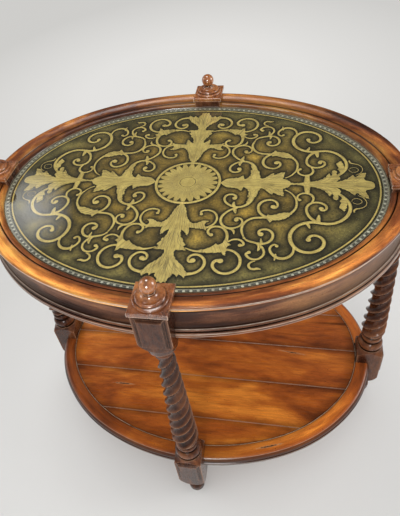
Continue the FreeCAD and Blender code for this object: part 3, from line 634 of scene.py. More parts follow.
def finished(name, bm, material, smooth=True):
    """Turns a bmesh into a piece that rides on the table."""
    mesh = bpy.data.meshes.new(name)
    bm.to_mesh(mesh)
    bm.free()
    mesh.materials.append(material)
    mesh.polygons.foreach_set("use_smooth", [smooth] * len(mesh.polygons))
    piece = bpy.data.objects.new(name, mesh)
    bpy.context.scene.collection.objects.link(piece)
    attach(piece, ROOT)
    return piece


def colour_property(name, description, default):
    return bpy.props.FloatVectorProperty(name=name, description=description, default=default,
                                         subtype="COLOR", size=3, min=0, max=1)


def length_property(name, description, default):
    return bpy.props.FloatProperty(name=name, description=description, default=default,
                                   subtype="DISTANCE", unit="LENGTH", min=0)


def number_property(name, description, default):
    return bpy.props.FloatProperty(name=name, description=description, default=default, min=0)


class WoodSettings(bpy.types.PropertyGroup):
    """Stain colours of the wood, from the darkest cloud to the most rubbed place."""
    shelf_dark: colour_property("Shelf, dark", "Darkest stain on the shelf boards", (0.16, 0.038, 0.009))
    shelf_mid: colour_property("Shelf, middle", "Usual stain on the shelf boards", (0.33, 0.078, 0.013))
    shelf_light: colour_property("Shelf, light", "Light stain on the shelf boards", (0.48, 0.128, 0.018))
    shelf_amber: colour_property("Shelf, amber", "Rubbed places on the shelf boards", (0.72, 0.235, 0.032))
    rim_dark: colour_property("Rim, dark", "Darkest stain on the rim", (0.055, 0.015, 0.006))
    rim_mid: colour_property("Rim, middle", "Usual stain on the rim", (0.21, 0.056, 0.014))
    rim_light: colour_property("Rim, light", "Light stain on the rim", (0.52, 0.18, 0.036))
    rim_amber: colour_property("Rim, amber", "Rubbed places on the rim", (0.86, 0.41, 0.085))
    cap_dark: colour_property("Caps, dark", "Darkest stain on caps and finials", (0.07, 0.020, 0.008))
    cap_mid: colour_property("Caps, middle", "Usual stain on caps and finials", (0.19, 0.055, 0.015))
    cap_light: colour_property("Caps, light", "Light stain on caps and finials", (0.32, 0.105, 0.028))
    cap_rubbed: colour_property("Caps, rubbed", "Rubbed places on caps and finials", (0.48, 0.19, 0.06))
    leg_dark: colour_property("Legs, dark", "Darkest stain on legs and apron", (0.030, 0.010, 0.005))
    leg_mid: colour_property("Legs, middle", "Usual stain on legs and apron", (0.055, 0.017, 0.008))
    leg_light: colour_property("Legs, light", "Light stain on the legs", (0.105, 0.034, 0.015))
    leg_rubbed: colour_property("Legs, rubbed", "Rubbed places on the legs", (0.20, 0.072, 0.028))
    apron_light: colour_property("Apron, light", "Light stain on the apron", (0.17, 0.066, 0.030))
    apron_rubbed: colour_property("Apron, rubbed", "Rubbed places on the apron", (0.36, 0.16, 0.055))


class TopSettings(bpy.types.PropertyGroup):
    """Sizes and colours of the decorated top."""
    gilt: colour_property("Gilt", "Colour of the gilt ornament", (0.54, 0.40, 0.115))
    gilt_rubbed: colour_property("Gilt, rubbed", "Rubbed places on the gilt ornament", (0.42, 0.30, 0.08))
    ground_open: colour_property("Ground, open", "Ground between the scrolls", (0.27, 0.165, 0.024))
    ground_dark: colour_property("Ground, shaded", "Ground close to the ornament", (0.010, 0.008, 0.003))
    ground_green: colour_property("Ground, green", "Ground towards the edge", (0.112, 0.092, 0.028))
    gilt_height: length_property("Gilt height", "Thickness of the gilt ornament", 0.35 * MM)
    halo_reach: length_property("Halo reach", "Width of the shaded ground round the ornament", 17 * MM)
    bead_radius: length_property("Bead radius", "Radius of the beads in the border", 2.2 * MM)
    bead_inset: length_property("Bead inset", "Distance of the beads from the edge of the opening", 6 * MM)
    strip_width: length_property("Strip width", "Width of the strip under the beads", 9.5 * MM)
    bead_count: bpy.props.IntProperty(name="Beads", description="Number of beads in the border",
                                      default=176, min=12, step=4)


class StageSettings(bpy.types.PropertyGroup):
    """Floor and lamps."""
    floor_near: colour_property("Floor, near", "Colour of the floor under the table", (0.73, 0.725, 0.71))
    backdrop_near: colour_property("Backdrop, near", "Colour of the ground just behind the table",
                                   (0.775, 0.765, 0.745))
    backdrop_far: colour_property("Backdrop, far", "Colour of the ground far from there",
                                  (0.62, 0.613, 0.595))
    floor_radius: length_property("Floor radius", "Radius of the floor", 9.0)
    world_strength: number_property("Room light", "Strength of the even light", 0.86)
    overhead_power: number_property("Overhead lamp", "Power of the lamp overhead, in watts", 15)
    glow_power: number_property("Window glow", "Power of the soft glow behind, in watts", 0.62)
    left_power: number_property("Left lamp", "Power of the lamp at the left, in watts", 13)
    right_power: number_property("Right lamp", "Power of the lamp at the right, in watts", 32)
    front_power: number_property("Front lamp", "Power of the lamp in front, in watts", 36)


def outline_curve(name, loops, thickness, edge):
    """A flat filled curve from closed loops of points in millimetres, with sharp tips kept sharp."""
    curve = bpy.data.curves.new(name, "CURVE")
    curve.dimensions = "2D"
    curve.fill_mode = "BOTH"
    curve.extrude = thickness / 2
    curve.bevel_depth = edge
    curve.bevel_resolution = 0
    curve.resolution_u = 3
    for loop in loops:
        spline = curve.splines.new("BEZIER")
        spline.bezier_points.add(len(loop) - 1)
        spline.use_cyclic_u = True
        for index, (point, place) in enumerate(zip(spline.bezier_points, loop)):
            point.co = (place[0] * MM, place[1] * MM, 0)
            before = Vector(place) - Vector(loop[index - 1])
            after = Vector(loop[(index + 1) % len(loop)]) - Vector(place)
            sharp = before.angle(after, 0) > TIP_ANGLE
            point.handle_left_type = point.handle_right_type = "VECTOR" if sharp else "AUTO"
    return curve


def serrated(loop):
    """Cuts a small tooth into every long side of a leaf's outline."""
    area = sum(x * loop[index - 1][1] - loop[index - 1][0] * y for index, (x, y) in enumerate(loop))
    outward = 1 if area > 0 else -1
    points = []
    for index, place in enumerate(loop):
        start, end = Vector(place), Vector(loop[(index + 1) % len(loop)])
        side = end - start
        points.append(place)
        if TOOTH_SIDE < side.length < 3 * TOOTH_SIDE:
            out = Vector((-side.y, side.x)).normalized() * outward * TOOTH_DEPTH
            for along, rise in (TOOTH_RISE, TOOTH_FALL):
                points.append(tuple(start + side * along + out * rise))
    return points


def scroll_curve(name, lines, thickness=1.0):
    """Round tubes along the points of scrolls or strokes, which are flattened afterwards."""
    curve = bpy.data.curves.new(name, "CURVE")
    curve.dimensions = "3D"
    curve.bevel_depth = MM * thickness
    curve.bevel_resolution = 1
    curve.use_fill_caps = True
    curve.resolution_u = 5
    for line in lines:
        spline = curve.splines.new("BEZIER")
        spline.bezier_points.add(len(line) - 1)
        for point, (x, y, half_width) in zip(spline.bezier_points, line):
            point.co = (x * MM, y * MM, 0)
            point.radius = half_width
            point.handle_left_type = point.handle_right_type = "AUTO"
    return curve


def mesh_of(curve):
    """The mesh that a curve makes, without the curve."""
    holder = bpy.data.objects.new(curve.name, curve)
    mesh = bpy.data.meshes.new_from_object(holder)
    bpy.data.objects.remove(holder)
    bpy.data.curves.remove(curve)
    return mesh


def join(bm, mesh):
    bm.from_mesh(mesh)
    bpy.data.meshes.remove(mesh)


def absorb(bm, part):
    """Moves everything of one bmesh into another."""
    held = bpy.data.meshes.new("part")
    part.to_mesh(held)
    part.free()
    join(bm, held)


def copies(bm, axes):
    """Adds the mirror image of everything across each of the axes in turn."""
    for axis in axes:
        geometry = bm.verts[:] + bm.edges[:] + bm.faces[:]
        made = bmesh.ops.duplicate(bm, geom=geometry)["geom"]
        verts = [item for item in made if isinstance(item, bmesh.types.BMVert)]
        faces = [item for item in made if isinstance(item, bmesh.types.BMFace)]
        flip = Vector((-1 if axis == "X" else 1, -1 if axis == "Y" else 1, 1))
        bmesh.ops.scale(bm, vec=flip, verts=verts)
        bmesh.ops.reverse_faces(bm, faces=faces)


def flatten(bm, share):
    bmesh.ops.scale(bm, vec=(1, 1, share), verts=bm.verts)


def lift(bm, height):
    bmesh.ops.translate(bm, vec=(0, 0, height), verts=bm.verts)


def flat_pieces(name, groups, thickness, edge):
    """Flat pieces of gilding as a bmesh; each group of closed outlines makes one of them."""
    bm = bmesh.new()
    for loops in groups:
        join(bm, mesh_of(outline_curve(name, loops, thickness, edge)))
    bmesh.ops.remove_doubles(bm, verts=bm.verts, dist=JOIN_REACH)
    bmesh.ops.recalc_face_normals(bm, faces=bm.faces)
    return bm


def circle_loop(radius, count=48):
    return [(radius * math.cos(2 * math.pi * k / count), radius * math.sin(2 * math.pi * k / count))
            for k in range(count)]


def medallion_loop():
    """Outline of the medallion with its ring of notches."""
    loop = []
    for index in range(MEDALLION_NOTCHES):
        middle = 2 * math.pi * (index + 0.5) / MEDALLION_NOTCHES
        half = NOTCH_WIDTH / 2 / MEDALLION_RADIUS
        for angle, radius in ((middle - half, MEDALLION_RADIUS), (middle, MEDALLION_RADIUS - NOTCH_DEPTH),
                              (middle + half, MEDALLION_RADIUS)):
            loop.append((radius * math.cos(angle), radius * math.sin(angle)))
    return loop


class TABLE_OT_ornament(bpy.types.Operator):
    """Lays the gilt ornament on the panel"""
    bl_idname = "accent_table.ornament"
    bl_label = "Gilt ornament"

    def execute(self, context):
        top = context.scene.table_top
        gilt = gilt_material(top, False)
        hatched = gilt_material(top, True)
        self.scrolls(top, gilt)
        self.leaves(top, hatched)
        self.medallion(top, hatched)
        self.strokes(top)
        dress("brass_line", gilt)
        return {"FINISHED"}

    def scrolls(self, top, gilt):
        """The scrolls with their knots, and the ring round the medallion."""
        bm = bmesh.new()
        join(bm, mesh_of(scroll_curve("scrolls", SCROLLS.values(), SCROLL_WEIGHT)))
        for x, y, radius in KNOTS:
            place = Matrix.Translation((x * MM, y * MM, 0))
            bmesh.ops.create_uvsphere(bm, u_segments=14, v_segments=8, radius=radius * MM, matrix=place)
        flatten(bm, top.gilt_height / WIDEST_SCROLL)
        lift(bm, PANEL_LEVEL + top.gilt_height * SCROLL_LEVEL)
        bmesh.ops.recalc_face_normals(bm, faces=bm.faces)
        copies(bm, "XY")
        loops = [circle_loop(radius, 96) for radius in reversed(MEDALLION_RING)]
        ring = flat_pieces("ring", [loops], top.gilt_height, RING_EDGE)
        lift(ring, PANEL_LEVEL + top.gilt_height * MEDALLION_LEVEL)
        absorb(bm, ring)
        finished("gilt_scrolls", bm, gilt)

    def leaves(self, top, hatched):
        """The leaves, each a little higher than the one before, so that none share a face."""
        bm = bmesh.new()
        parts = [("X", half + [(x, -y) for x, y in reversed(half[1:-1])]) for half in LONG_AXIS_LEAVES]
        parts += [("Y", half + [(-x, y) for x, y in reversed(half[1:-1])]) for half in SHORT_AXIS_LEAVES]
        parts += [("XY", loop) for loop in QUARTER_LEAVES]
        for index, (axes, loop) in enumerate(parts):
            part = flat_pieces("leaf", [[serrated(loop)]], top.gilt_height, LEAF_EDGE)
            lift(part, LEAF_STEP * index)
            copies(part, axes)
            absorb(bm, part)
        lift(bm, PANEL_LEVEL + top.gilt_height * LEAF_LEVEL)
        finished("gilt_leaves", bm, hatched, smooth=False)

    def medallion(self, top, hatched):
        groups = ([medallion_loop(), circle_loop(MEDALLION_EYE[1])], [circle_loop(MEDALLION_EYE[0])])
        bm = flat_pieces("medallion", groups, top.gilt_height, LEAF_EDGE)
        lift(bm, PANEL_LEVEL + top.gilt_height * MEDALLION_LEVEL)
        finished("gilt_medallion", bm, hatched, smooth=False)

    def strokes(self, top):
        """Fine engraved strokes on the leaves and round the medallion."""
        bm = bmesh.new()
        lines = [[(x, y, STROKE_WIDTH * (STROKE_TIP if index in (0, len(line) - 1) else 1))
                  for index, (x, y) in enumerate(line)] for line in STROKES]
        join(bm, mesh_of(scroll_curve("strokes", lines)))
        copies(bm, "XY")
        lines = []
        for start, inner, outer, count in RADIAL_STROKES:
            for index in range(count):
                angle = 2 * math.pi * (index + start) / count
                ends = ((inner, STROKE_WIDTH), (outer, STROKE_WIDTH / 2))
                lines.append([(radius * math.cos(angle), radius * math.sin(angle), width)
                              for radius, width in ends])
        join(bm, mesh_of(scroll_curve("strokes", lines)))
        flatten(bm, STROKE_FLATNESS)
        lift(bm, PANEL_LEVEL + top.gilt_height * MEDALLION_LEVEL + STROKE_LIFT)
        stain = mottled_material("engraved strokes", "stroke stain",
                                 [(0.35, (0.085, 0.055, 0.018)), (0.65, (0.20, 0.14, 0.045))], 0.6)
        finished("engraved_strokes", bm, stain)


def gilt_material(top, hatched):
    """Pale old gilding with rubbed patches, and on leaves with a fan of fine engraved strokes."""
    material, tree, shader = new_material("hatched gilding" if hatched else "old gilding")
    colour = ramp(tree, pattern(tree, "gilt patches"), [(0.35, top.gilt_rubbed), (0.55, top.gilt)])
    if hatched:
        outward = vector_math(tree, "MULTIPLY", object_vector(tree), (1, 1, 0))
        unit = add(tree, "SeparateXYZ", {0: vector_math(tree, "NORMALIZE", outward)}).outputs
        reach = calc(tree, "MULTIPLY", length(tree, outward), 0.3)
        fan = add(tree, "CombineXYZ", {0: unit[0], 1: unit[1], 2: reach}).outputs[0]
        relief = pattern(tree, "gilt fan", fan)
        fine = ramp(tree, relief, [(0.38, 0.45), (0.50, 1.1016)])
    else:
        relief = pattern(tree, "gilt relief")
        fine = ramp(tree, relief, [(0.3, 0.62), (0.55, 1.272)])
    feed(tree, shader, {
        "Base Color": multiply(tree, colour, fine, 0.8),
        "Metallic": 0.25,
        "Roughness": 0.42,
        "Normal": bump(tree, relief, FINE_RELIEF),
    })
    return material


class TABLE_OT_panel(bpy.types.Operator):
    """Makes the panel's ground, shaded round the ornament"""
    bl_idname = "accent_table.panel"
    bl_label = "Panel ground"

    # Cells of the ground's grid along the longer side
    cells = 150

    def execute(self, context):
        top = context.scene.table_top
        tree = self.ornament_tree(("gilt_scrolls", "gilt_leaves", "gilt_medallion"))
        bm = bmesh.new()
        rows = round(self.cells * HALF_WIDTH / HALF_LENGTH)
        bmesh.ops.create_grid(bm, x_segments=self.cells, y_segments=rows, size=1)
        shade = bm.verts.layers.float.new("open_ground")
        for vert in bm.verts:
            # A place in the square goes to the same place in an ellipse, and then out to the oval
            u, v = vert.co.x, vert.co.y
            x = u * math.sqrt(1 - v * v / 2) * HALF_LENGTH
            y = v * math.sqrt(1 - u * u / 2) * HALF_WIDTH
            angle = math.atan2(y, x)
            ellipse = 1 / math.hypot(math.cos(angle) / HALF_LENGTH, math.sin(angle) / HALF_WIDTH)
            share = (OVAL.reach(angle) - GLASS_GAP) / ellipse
            vert.co = (x * share, y * share, PANEL_LEVEL)
            near = tree.find(vert.co)[2]
            line = abs(OVAL.offset(vert.co.x, vert.co.y) + LINE_INSET)
            vert[shade] = min(1, min(near, line) / top.halo_reach)
        rim = [edge for edge in bm.edges if edge.is_boundary]
        made = bmesh.ops.extrude_edge_only(bm, edges=rim)["geom"]
        lower = [item for item in made if isinstance(item, bmesh.types.BMVert)]
        bmesh.ops.translate(bm, vec=(0, 0, PANEL_LOW.z - PANEL_LEVEL), verts=lower)
        bmesh.ops.edgeloop_fill(bm, edges=[edge for edge in bm.edges if edge.is_boundary])
        bmesh.ops.recalc_face_normals(bm, faces=bm.faces)
        ground = finished("panel_ground", bm, ground_material(top), smooth=False)
        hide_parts("decorated_panel")
        return {"FINISHED"}

    def ornament_tree(self, names):
        """A search tree of every point of the ornament."""
        places = [vert.co for name in names for vert in bpy.data.objects[name].data.vertices]
        tree = kdtree.KDTree(len(places))
        for index, place in enumerate(places):
            tree.insert(place, index)
        tree.balance()
        return tree


def ground_material(top):
    """Dark olive ground, browner and lighter in the open places, with a soft mottle."""
    material, tree, shader = new_material("panel ground")
    flat = vector_math(tree, "MULTIPLY", object_vector(tree), (1 / HALF_LENGTH, 1 / HALF_WIDTH, 0))
    outward = ramp(tree, length(tree, flat), [(0.45, 0), (0.95, 1)])
    light = mix(tree, outward, rgba(top.ground_open), rgba(top.ground_green))
    clouds = ramp(tree, pattern(tree, "ground clouds"), [(0.33, 0.26), (0.5, 0.85), (0.65, 1.75)])
    light = multiply(tree, light, clouds, 0.85)
    opened = add(tree, "Attribute", attribute_name="open_ground").outputs["Fac"]
    glow = ramp(tree, opened, [(0.10, 0), (0.32, 0.45), (0.9, 1)])
    fine = pattern(tree, "ground mottle")
    colour = multiply(tree, mix(tree, glow, rgba(top.ground_dark), light),
                      ramp(tree, fine, [(0.32, 0.45), (0.68, 1.55)]), 0.85)
    feed(tree, shader, {
        "Base Color": colour,
        "Roughness": 0.5,
        "Specular IOR Level": 0.2,
        "Normal": bump(tree, fine, FINE_RELIEF),
    })
    return material


class TABLE_OT_beads(bpy.types.Operator):
    """Sets the beads on their strip round the panel"""
    bl_idname = "accent_table.beads"
    bl_label = "Bead border"

    def execute(self, context):
        top = context.scene.table_top
        strip = self.strip(top)
        bm = bmesh.new()
        for place in OVAL.points(-top.bead_inset, top.bead_count)[:top.bead_count // 4]:
            matrix = Matrix.Translation((place.x, place.y, 0))
            bmesh.ops.create_uvsphere(bm, u_segments=9, v_segments=6, radius=top.bead_radius, matrix=matrix)
        flatten(bm, (GLASS_BASE - PANEL_LEVEL) * BEAD_SHARE / top.bead_radius)
        lift(bm, PANEL_LEVEL + BEAD_LEVEL)
        copies(bm, "XY")
        pale = mottled_material("pale beads", "bead dirt",
                                [(0.3, (0.26, 0.24, 0.175)), (0.6, (0.62, 0.58, 0.45))], 0.3)
        finished("border_beads", bm, pale)
        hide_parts("bead_border")
        return {"FINISHED"}

    def strip(self, top):
        """The thin strip that carries the beads."""
        bm = bmesh.new()
        rings = []
        outer, inner = -GLASS_GAP - STRIP_GAP, -top.strip_width
        for offset, height in ((outer, 0), (outer, STRIP_THICKNESS), (inner, STRIP_THICKNESS), (inner, 0)):
            verts = [bm.verts.new((place.x, place.y, PANEL_LEVEL + height))
                     for place in OVAL.points(offset, STRIP_STEPS)]
            rings.append([bm.edges.new((verts[k], verts[k - 1])) for k in range(STRIP_STEPS)])
        for first, second in zip(rings, rings[1:] + rings[:1]):
            bmesh.ops.bridge_loops(bm, edges=first + second)
        bmesh.ops.recalc_face_normals(bm, faces=bm.faces)
        return finished("bead_strip", bm, strip_material(top), smooth=False)


def strip_material(top):
    """Dark olive strip under the beads, with painted shade along their middle, between the beads."""
    material, tree, shader = new_material("dark olive strip")
    colour = ramp(tree, pattern(tree, "strip mottle"),
                  [(0.35, (0.15, 0.136, 0.094)), (0.65, (0.34, 0.31, 0.225))])
    middle = calc(tree, "ABSOLUTE", calc(tree, "ADD", oval_offset(tree), top.bead_inset))
    groove = share_ramp(tree, middle, 0, BEAD_SHADE_WIDTH, BEAD_SHADE_STOPS)
    feed(tree, shader, {"Base Color": multiply(tree, colour, groove), "Roughness": 0.45})
    return material


class TABLE_OT_glass(bpy.types.Operator):
    """Gives the glass its clear material"""
    bl_idname = "accent_table.glass"
    bl_label = "Glass"

    def execute(self, context):
        material, tree, shader = new_material("clear glass")
        feed(tree, shader, {
            "Base Color": (0.99, 1.0, 0.985, 1),
            "Roughness": 0.015,
            "IOR": 1.5,
            "Transmission Weight": 1.0,
        })
        clear = add(tree, "BsdfTransparent", {0: (0.96, 0.98, 0.97, 1)})
        rays = add(tree, "LightPath").outputs
        passing = calc(tree, "MAXIMUM", rays["Is Shadow Ray"], rays["Is Diffuse Ray"])
        both = add(tree, "MixShader", {0: passing, 1: shader.outputs[0], 2: clear.outputs[0]})
        feed(tree, tree.nodes["Material Output"], {"Surface": both.outputs[0]})
        dress("glass_top", material)
        return {"FINISHED"}


# Finish of the shelf boards: tones from board to board, smoky bands and pale lines along the
# seams that are worn and painted as highlight, and the dark edge. Stops give the share of a width
# and the tone or the strength there.
BOARD_TONES = [(0, 0.85), (1, 1.1)]
SMOKE_WIDTH, SMOKE_WAVE = 32 * MM, 22 * MM
SMOKE_STOPS = [(0.25, 0.42), (0.75, 1)]
SEAM_WIDTH = 3 * MM
SEAM_STOPS = [(0.28, 1), (0.42, 0)]
SEAM_STRENGTH = 0.4
SEAM_WEAR_AND_HIGHLIGHT = (0.36, 0.25, 0.18, 1)
BOARD_EDGE_WIDTH = 40 * MM
BOARD_EDGE_STOPS = [(0.03, 0.16), (0.08, 0.62), (0.6, 1)]

# A dent's half width in millimetres, how ragged it is, and its pale lip and dark bottom: colour,
# strength, and stops over twice its size
DENT_HALF_WIDTH = 2.6
DENT_RAGGED = 1.2
DENT_LAYERS = (
    ((0.45, 0.27, 0.14, 1), 0.5, [(0.68, 1), (0.80, 0)]),
    ((0.03, 0.012, 0.006, 1), 0.9, [(0.48, 1), (0.60, 0)]),
)

# Tones of the shelf's border: from its inner groove outwards, up its outer edge, and from left to right
# as painted light and shade; then painted highlight lines
BORDER_REACH = 40 * MM
BORDER_ACROSS = [(0.0, 0.18), (0.05, 0.75), (0.2, 1.0)]
BORDER_EDGE_HEIGHT = 16 * MM
BORDER_UPWARDS = [(0.0, 0.13), (0.55, 0.15), (0.85, 0.32), (0.97, 1.0)]
BORDER_LIGHT_AND_SHADE = [(0.35, 0.78), (0.55, 0.60), (0.85, 1.10)]
BORDER_LINES = [(0.40, 0), (0.43, 0.6), (0.47, 0), (0.93, 0), (0.95, 1), (0.97, 0)]
BORDER_OUTER_WIDTH = 31 * MM
BORDER_OUTER = [(0.80, 0), (0.84, 1)]
BORDER_GLINT = 1.3

# Tones of the rim: from the glass outwards, front to back as painted light and shade, painted highlight
# lines
RIM_WIDTH = 35 * MM
RIM_STREAKS = 7 * MM
RIM_ACROSS = [(0.02, 0.55), (0.20, 0.72), (0.27, 0.30), (0.34, 0.62), (0.52, 0.85), (0.68, 1.25),
              (0.88, 1.35), (0.96, 0.6)]
RIM_FRONT_TO_BACK_SHADE = [(0.0, 1.15), (0.3, 1.15), (0.6, 0.72), (1.0, 0.55)]
RIM_LINES = [(0.46, 0), (0.48, 1), (0.53, 1), (0.56, 0), (0.71, 0), (0.73, 1), (0.79, 1), (0.83, 0)]
RIM_OUTER = [(0.85, 0), (0.87, 1)]
RIM_GLINT = 1.15

# Painted light and shade on the legs: over the collar ring with its grooves, and up the leg between two
# levels
RING_MARGIN = 2 * MM
RING_LIGHT_AND_SHADE = [(0.0, 1), (0.08, 0.15), (0.18, 0.3), (0.32, 2.2), (0.62, 2.6), (0.80, 0.3), (0.90, 0.12),
              (1.0, 1)]
LEG_LEVELS = (0.09, 0.56)
LEG_SHADE_UPWARDS = [(0.0, 0.62), (0.14, 0.62), (0.2, 0.88), (0.5, 0.76), (0.8, 0.50), (1.0, 0.72)]

# Tones of the apron: from its lower edge upwards, with painted shade in quirks and at the cove's top and
# foot; painted highlight lines; and a painted pale sheen towards its ends
APRON_STREAKS = 9 * MM
APRON_UPWARDS = [(0.0, 1.7), (0.13, 1.8), (0.17, 0.4), (0.24, 1.1), (0.30, 0.32), (0.42, 0.65),
                 (0.62, 1.15), (0.80, 0.75), (0.94, 0.28)]
APRON_LINES = [(0.015, 0), (0.03, 1), (0.045, 0), (0.095, 0), (0.11, 1), (0.14, 0), (0.25, 0),
               (0.265, 1), (0.285, 0)]
APRON_SHEEN_STOPS = [(0.45, 0), (0.9, 0.4)]
APRON_SHEEN = (0.25, 0.17, 0.12, 1)


def streaked(tree, value, amount):
    """Lets a length waver, with streaks that run round the oval."""
    streak = calc(tree, "SUBTRACT", pattern(tree, "streaks", round_vector(tree, 0.05)), 0.5)
    return calc(tree, "ADD", value, calc(tree, "MULTIPLY", streak, amount))


def board_shade(tree, colour):
    """Each board has its own tone, smoky bands, pale seam lines of wear and painted highlight, old dents."""
    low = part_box("shelf_board_3")[0].y
    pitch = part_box("shelf_board_4")[0].y - low
    run = calc(tree, "DIVIDE", calc(tree, "SUBTRACT", object_parts(tree)[1], low), pitch)
    board = calc(tree, "FLOOR", run)
    tone = add(tree, "TexWhiteNoise", {"W": board}, noise_dimensions="1D").outputs[0]
    colour = multiply(tree, colour, ramp(tree, tone, BOARD_TONES))
    middle = calc(tree, "ABSOLUTE", calc(tree, "SUBTRACT", calc(tree, "FRACT", run), 0.5))
    seam = calc(tree, "MULTIPLY", calc(tree, "SUBTRACT", 0.5, middle), pitch)
    wavy = calc(tree, "ADD", seam, calc(tree, "MULTIPLY", pattern(tree, "smoke"), SMOKE_WAVE))
    colour = multiply(tree, colour, share_ramp(tree, wavy, 0, SMOKE_WIDTH, SMOKE_STOPS))
    # A pale line along each seam, partly wear and partly painted highlight
    near = share_ramp(tree, seam, 0, SEAM_WIDTH, SEAM_STOPS)
    colour = mix(tree, calc(tree, "MULTIPLY", near, SEAM_STRENGTH), colour, SEAM_WEAR_AND_HIGHLIGHT)
    inward = calc(tree, "MULTIPLY", oval_offset(tree), -1.0)
    edge = share_ramp(tree, inward, 0, BOARD_EDGE_WIDTH, BOARD_EDGE_STOPS)
    return dented(tree, multiply(tree, colour, edge))


def dented(tree, colour):
    """Long dark dents with a pale lip."""
    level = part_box("shelf_board_3")[1].z
    for x, y, half, turn in DENTS:
        place = vector_math(tree, "SUBTRACT", object_place(tree), (x * MM, y * MM, level))
        turned = add(tree, "VectorRotate", {"Vector": place, "Angle": -turn}, rotation_type="Z_AXIS")
        shares = (1 / half, 1 / DENT_HALF_WIDTH, 0.1)
        flat = vector_math(tree, "MULTIPLY", turned.outputs[0], shares)
        reach = calc(tree, "DIVIDE", length(tree, flat), MM)
        rough = calc(tree, "MULTIPLY", pattern(tree, "ragged dents"), DENT_RAGGED)
        ragged = calc(tree, "ADD", reach, rough)
        for tone, strength, stops in DENT_LAYERS:
            layer = calc(tree, "MULTIPLY", share_ramp(tree, ragged, 0, 2, stops), strength)
            colour = mix(tree, layer, colour, tone)
    return colour


def border_shade(tree, colour):
    """The border is dark in its inner groove and down its outer edge, with painted shade deepest in the
    middle and painted light at its right end.
    """
    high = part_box("shelf_border_front_right")[1].z
    x, _, z = object_parts(tree)
    across = share_ramp(tree, oval_offset(tree), 0, BORDER_REACH, BORDER_ACROSS)
    upwards = share_ramp(tree, z, high - BORDER_EDGE_HEIGHT, high, BORDER_UPWARDS)
    # Painted shade deepest in the middle and painted light at the right end
    rightwards = share_ramp(tree, x, -HALF_LENGTH, HALF_LENGTH, BORDER_LIGHT_AND_SHADE)
    for tone in (across, rightwards, upwards):
        colour = multiply(tree, colour, tone)
    return dented(tree, colour)


def rim_shade(tree, colour):
    """The rim is brown towards the glass, bright on its wide slope, dark in its quirk and outer face,
    and in painted light at the front and painted shade towards the back.
    """
    offset = streaked(tree, oval_offset(tree), RIM_STREAKS)
    colour = multiply(tree, colour, share_ramp(tree, offset, 0, RIM_WIDTH, RIM_ACROSS))
    # Painted light at the front and painted shade towards the back
    back_shading = share_ramp(tree, object_parts(tree)[1], -HALF_WIDTH, HALF_WIDTH, RIM_FRONT_TO_BACK_SHADE)
    return multiply(tree, colour, back_shading)


def leg_shade(tree, colour):
    """The collar ring is painted bright between grooves of painted shade, and painted shade changes up the
    leg.
    """
    height = object_parts(tree)[2]
    low, high = [level * MM for level in COLLAR_RING]
    ring = share_ramp(tree, height, low - RING_MARGIN, high + RING_MARGIN, RING_LIGHT_AND_SHADE)
    # Painted shade that changes up the leg
    upwards = share_ramp(tree, height, *LEG_LEVELS, LEG_SHADE_UPWARDS)
    return multiply(tree, multiply(tree, colour, ring), upwards)


def apron_shade(tree, colour):
    """The apron is warm on its nosing and in its cove, with painted shade in its quirks and at the cove's
    top and foot, and a painted pale sheen towards its ends.
    """
    low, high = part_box("apron_front_right")
    # Painted shade in the quirks and at the top and foot of the cove
    level = streaked(tree, object_parts(tree)[2], APRON_STREAKS)
    colour = multiply(tree, colour, share_ramp(tree, level, low.z, high.z, APRON_UPWARDS))
    # A painted pale sheen towards the ends
    aside = calc(tree, "ABSOLUTE", object_parts(tree)[0])
    return mix(tree, share_ramp(tree, aside, 0, HALF_LENGTH, APRON_SHEEN_STOPS), colour, APRON_SHEEN)


def outer_lines(tree, low, high, lines, width, outer, strength):
    """Painted highlight lines between two levels, on the outer face alone."""
    level = share_ramp(tree, object_parts(tree)[2], low, high, lines)
    beyond = share_ramp(tree, oval_offset(tree), 0, width, outer)
    return calc(tree, "MULTIPLY", calc(tree, "MULTIPLY", level, beyond), strength)


def border_glint(tree):
    """A painted highlight line round the upper and the lower arris of the shelf's border."""
    low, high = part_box("shelf_border_front_right")
    return outer_lines(tree, low.z, high.z, BORDER_LINES, BORDER_OUTER_WIDTH, BORDER_OUTER, BORDER_GLINT)


def rim_glint(tree):
    """Painted highlight lines along the fillets on the rim's outer face."""
    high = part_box("rim_front_right")[1].z
    return outer_lines(tree, PANEL_LEVEL, high, RIM_LINES, RIM_WIDTH, RIM_OUTER, RIM_GLINT)


def apron_glint(tree):
    """Painted highlight lines along the nosing and along the bead."""
    low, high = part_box("apron_front_right")
    return share_ramp(tree, object_parts(tree)[2], low.z, high.z, APRON_LINES)


# Pale arrises and lines, painted as wear and highlight; each piece's painted quirk shade, as for all wood
PALE_HIGHLIGHT = (0.75, 0.62, 0.50)
LEG_ARRIS_WEAR_AND_HIGHLIGHT = (0.44, 0.28, 0.18)
CAP_ARRIS_WEAR_AND_HIGHLIGHT = (0.72, 0.54, 0.40)
RIM_QUIRK_SHADE = ((6, 0.50, 0.90), (2.6, 0.42, 0.84))
LEG_QUIRK_SHADE = ((14, 0.76, 0.99), (5, 0.66, 0.98))
CAP_QUIRK_SHADE = ((8, 0.56, 0.92), (3, 0.50, 0.88))
# Ridges of the legs painted pale as wear and as highlight: reach in millimetres, strength, colour
LEG_RIDGE_WEAR_AND_HIGHLIGHT = (6, 0.75, (0.19, 0.078, 0.038))

# How the mottling and the grain are drawn out: along straight boards, round the oval, up the legs
STRAIGHT = (lambda tree: object_vector(tree, (0.32, 1, 1)), lambda tree: object_vector(tree, (0.05, 1, 1)))
CURVED = (lambda tree: round_vector(tree, 0.22), lambda tree: round_vector(tree, 0.05))
UPRIGHT = (lambda tree: object_vector(tree, (1, 1, 0.35)), lambda tree: object_vector(tree, (1, 1, 0.22)))


def stain(wood, *names):
    """The tones of a stain, from its darkest cloud to its most rubbed place."""
    return [getattr(wood, name) for name in names]


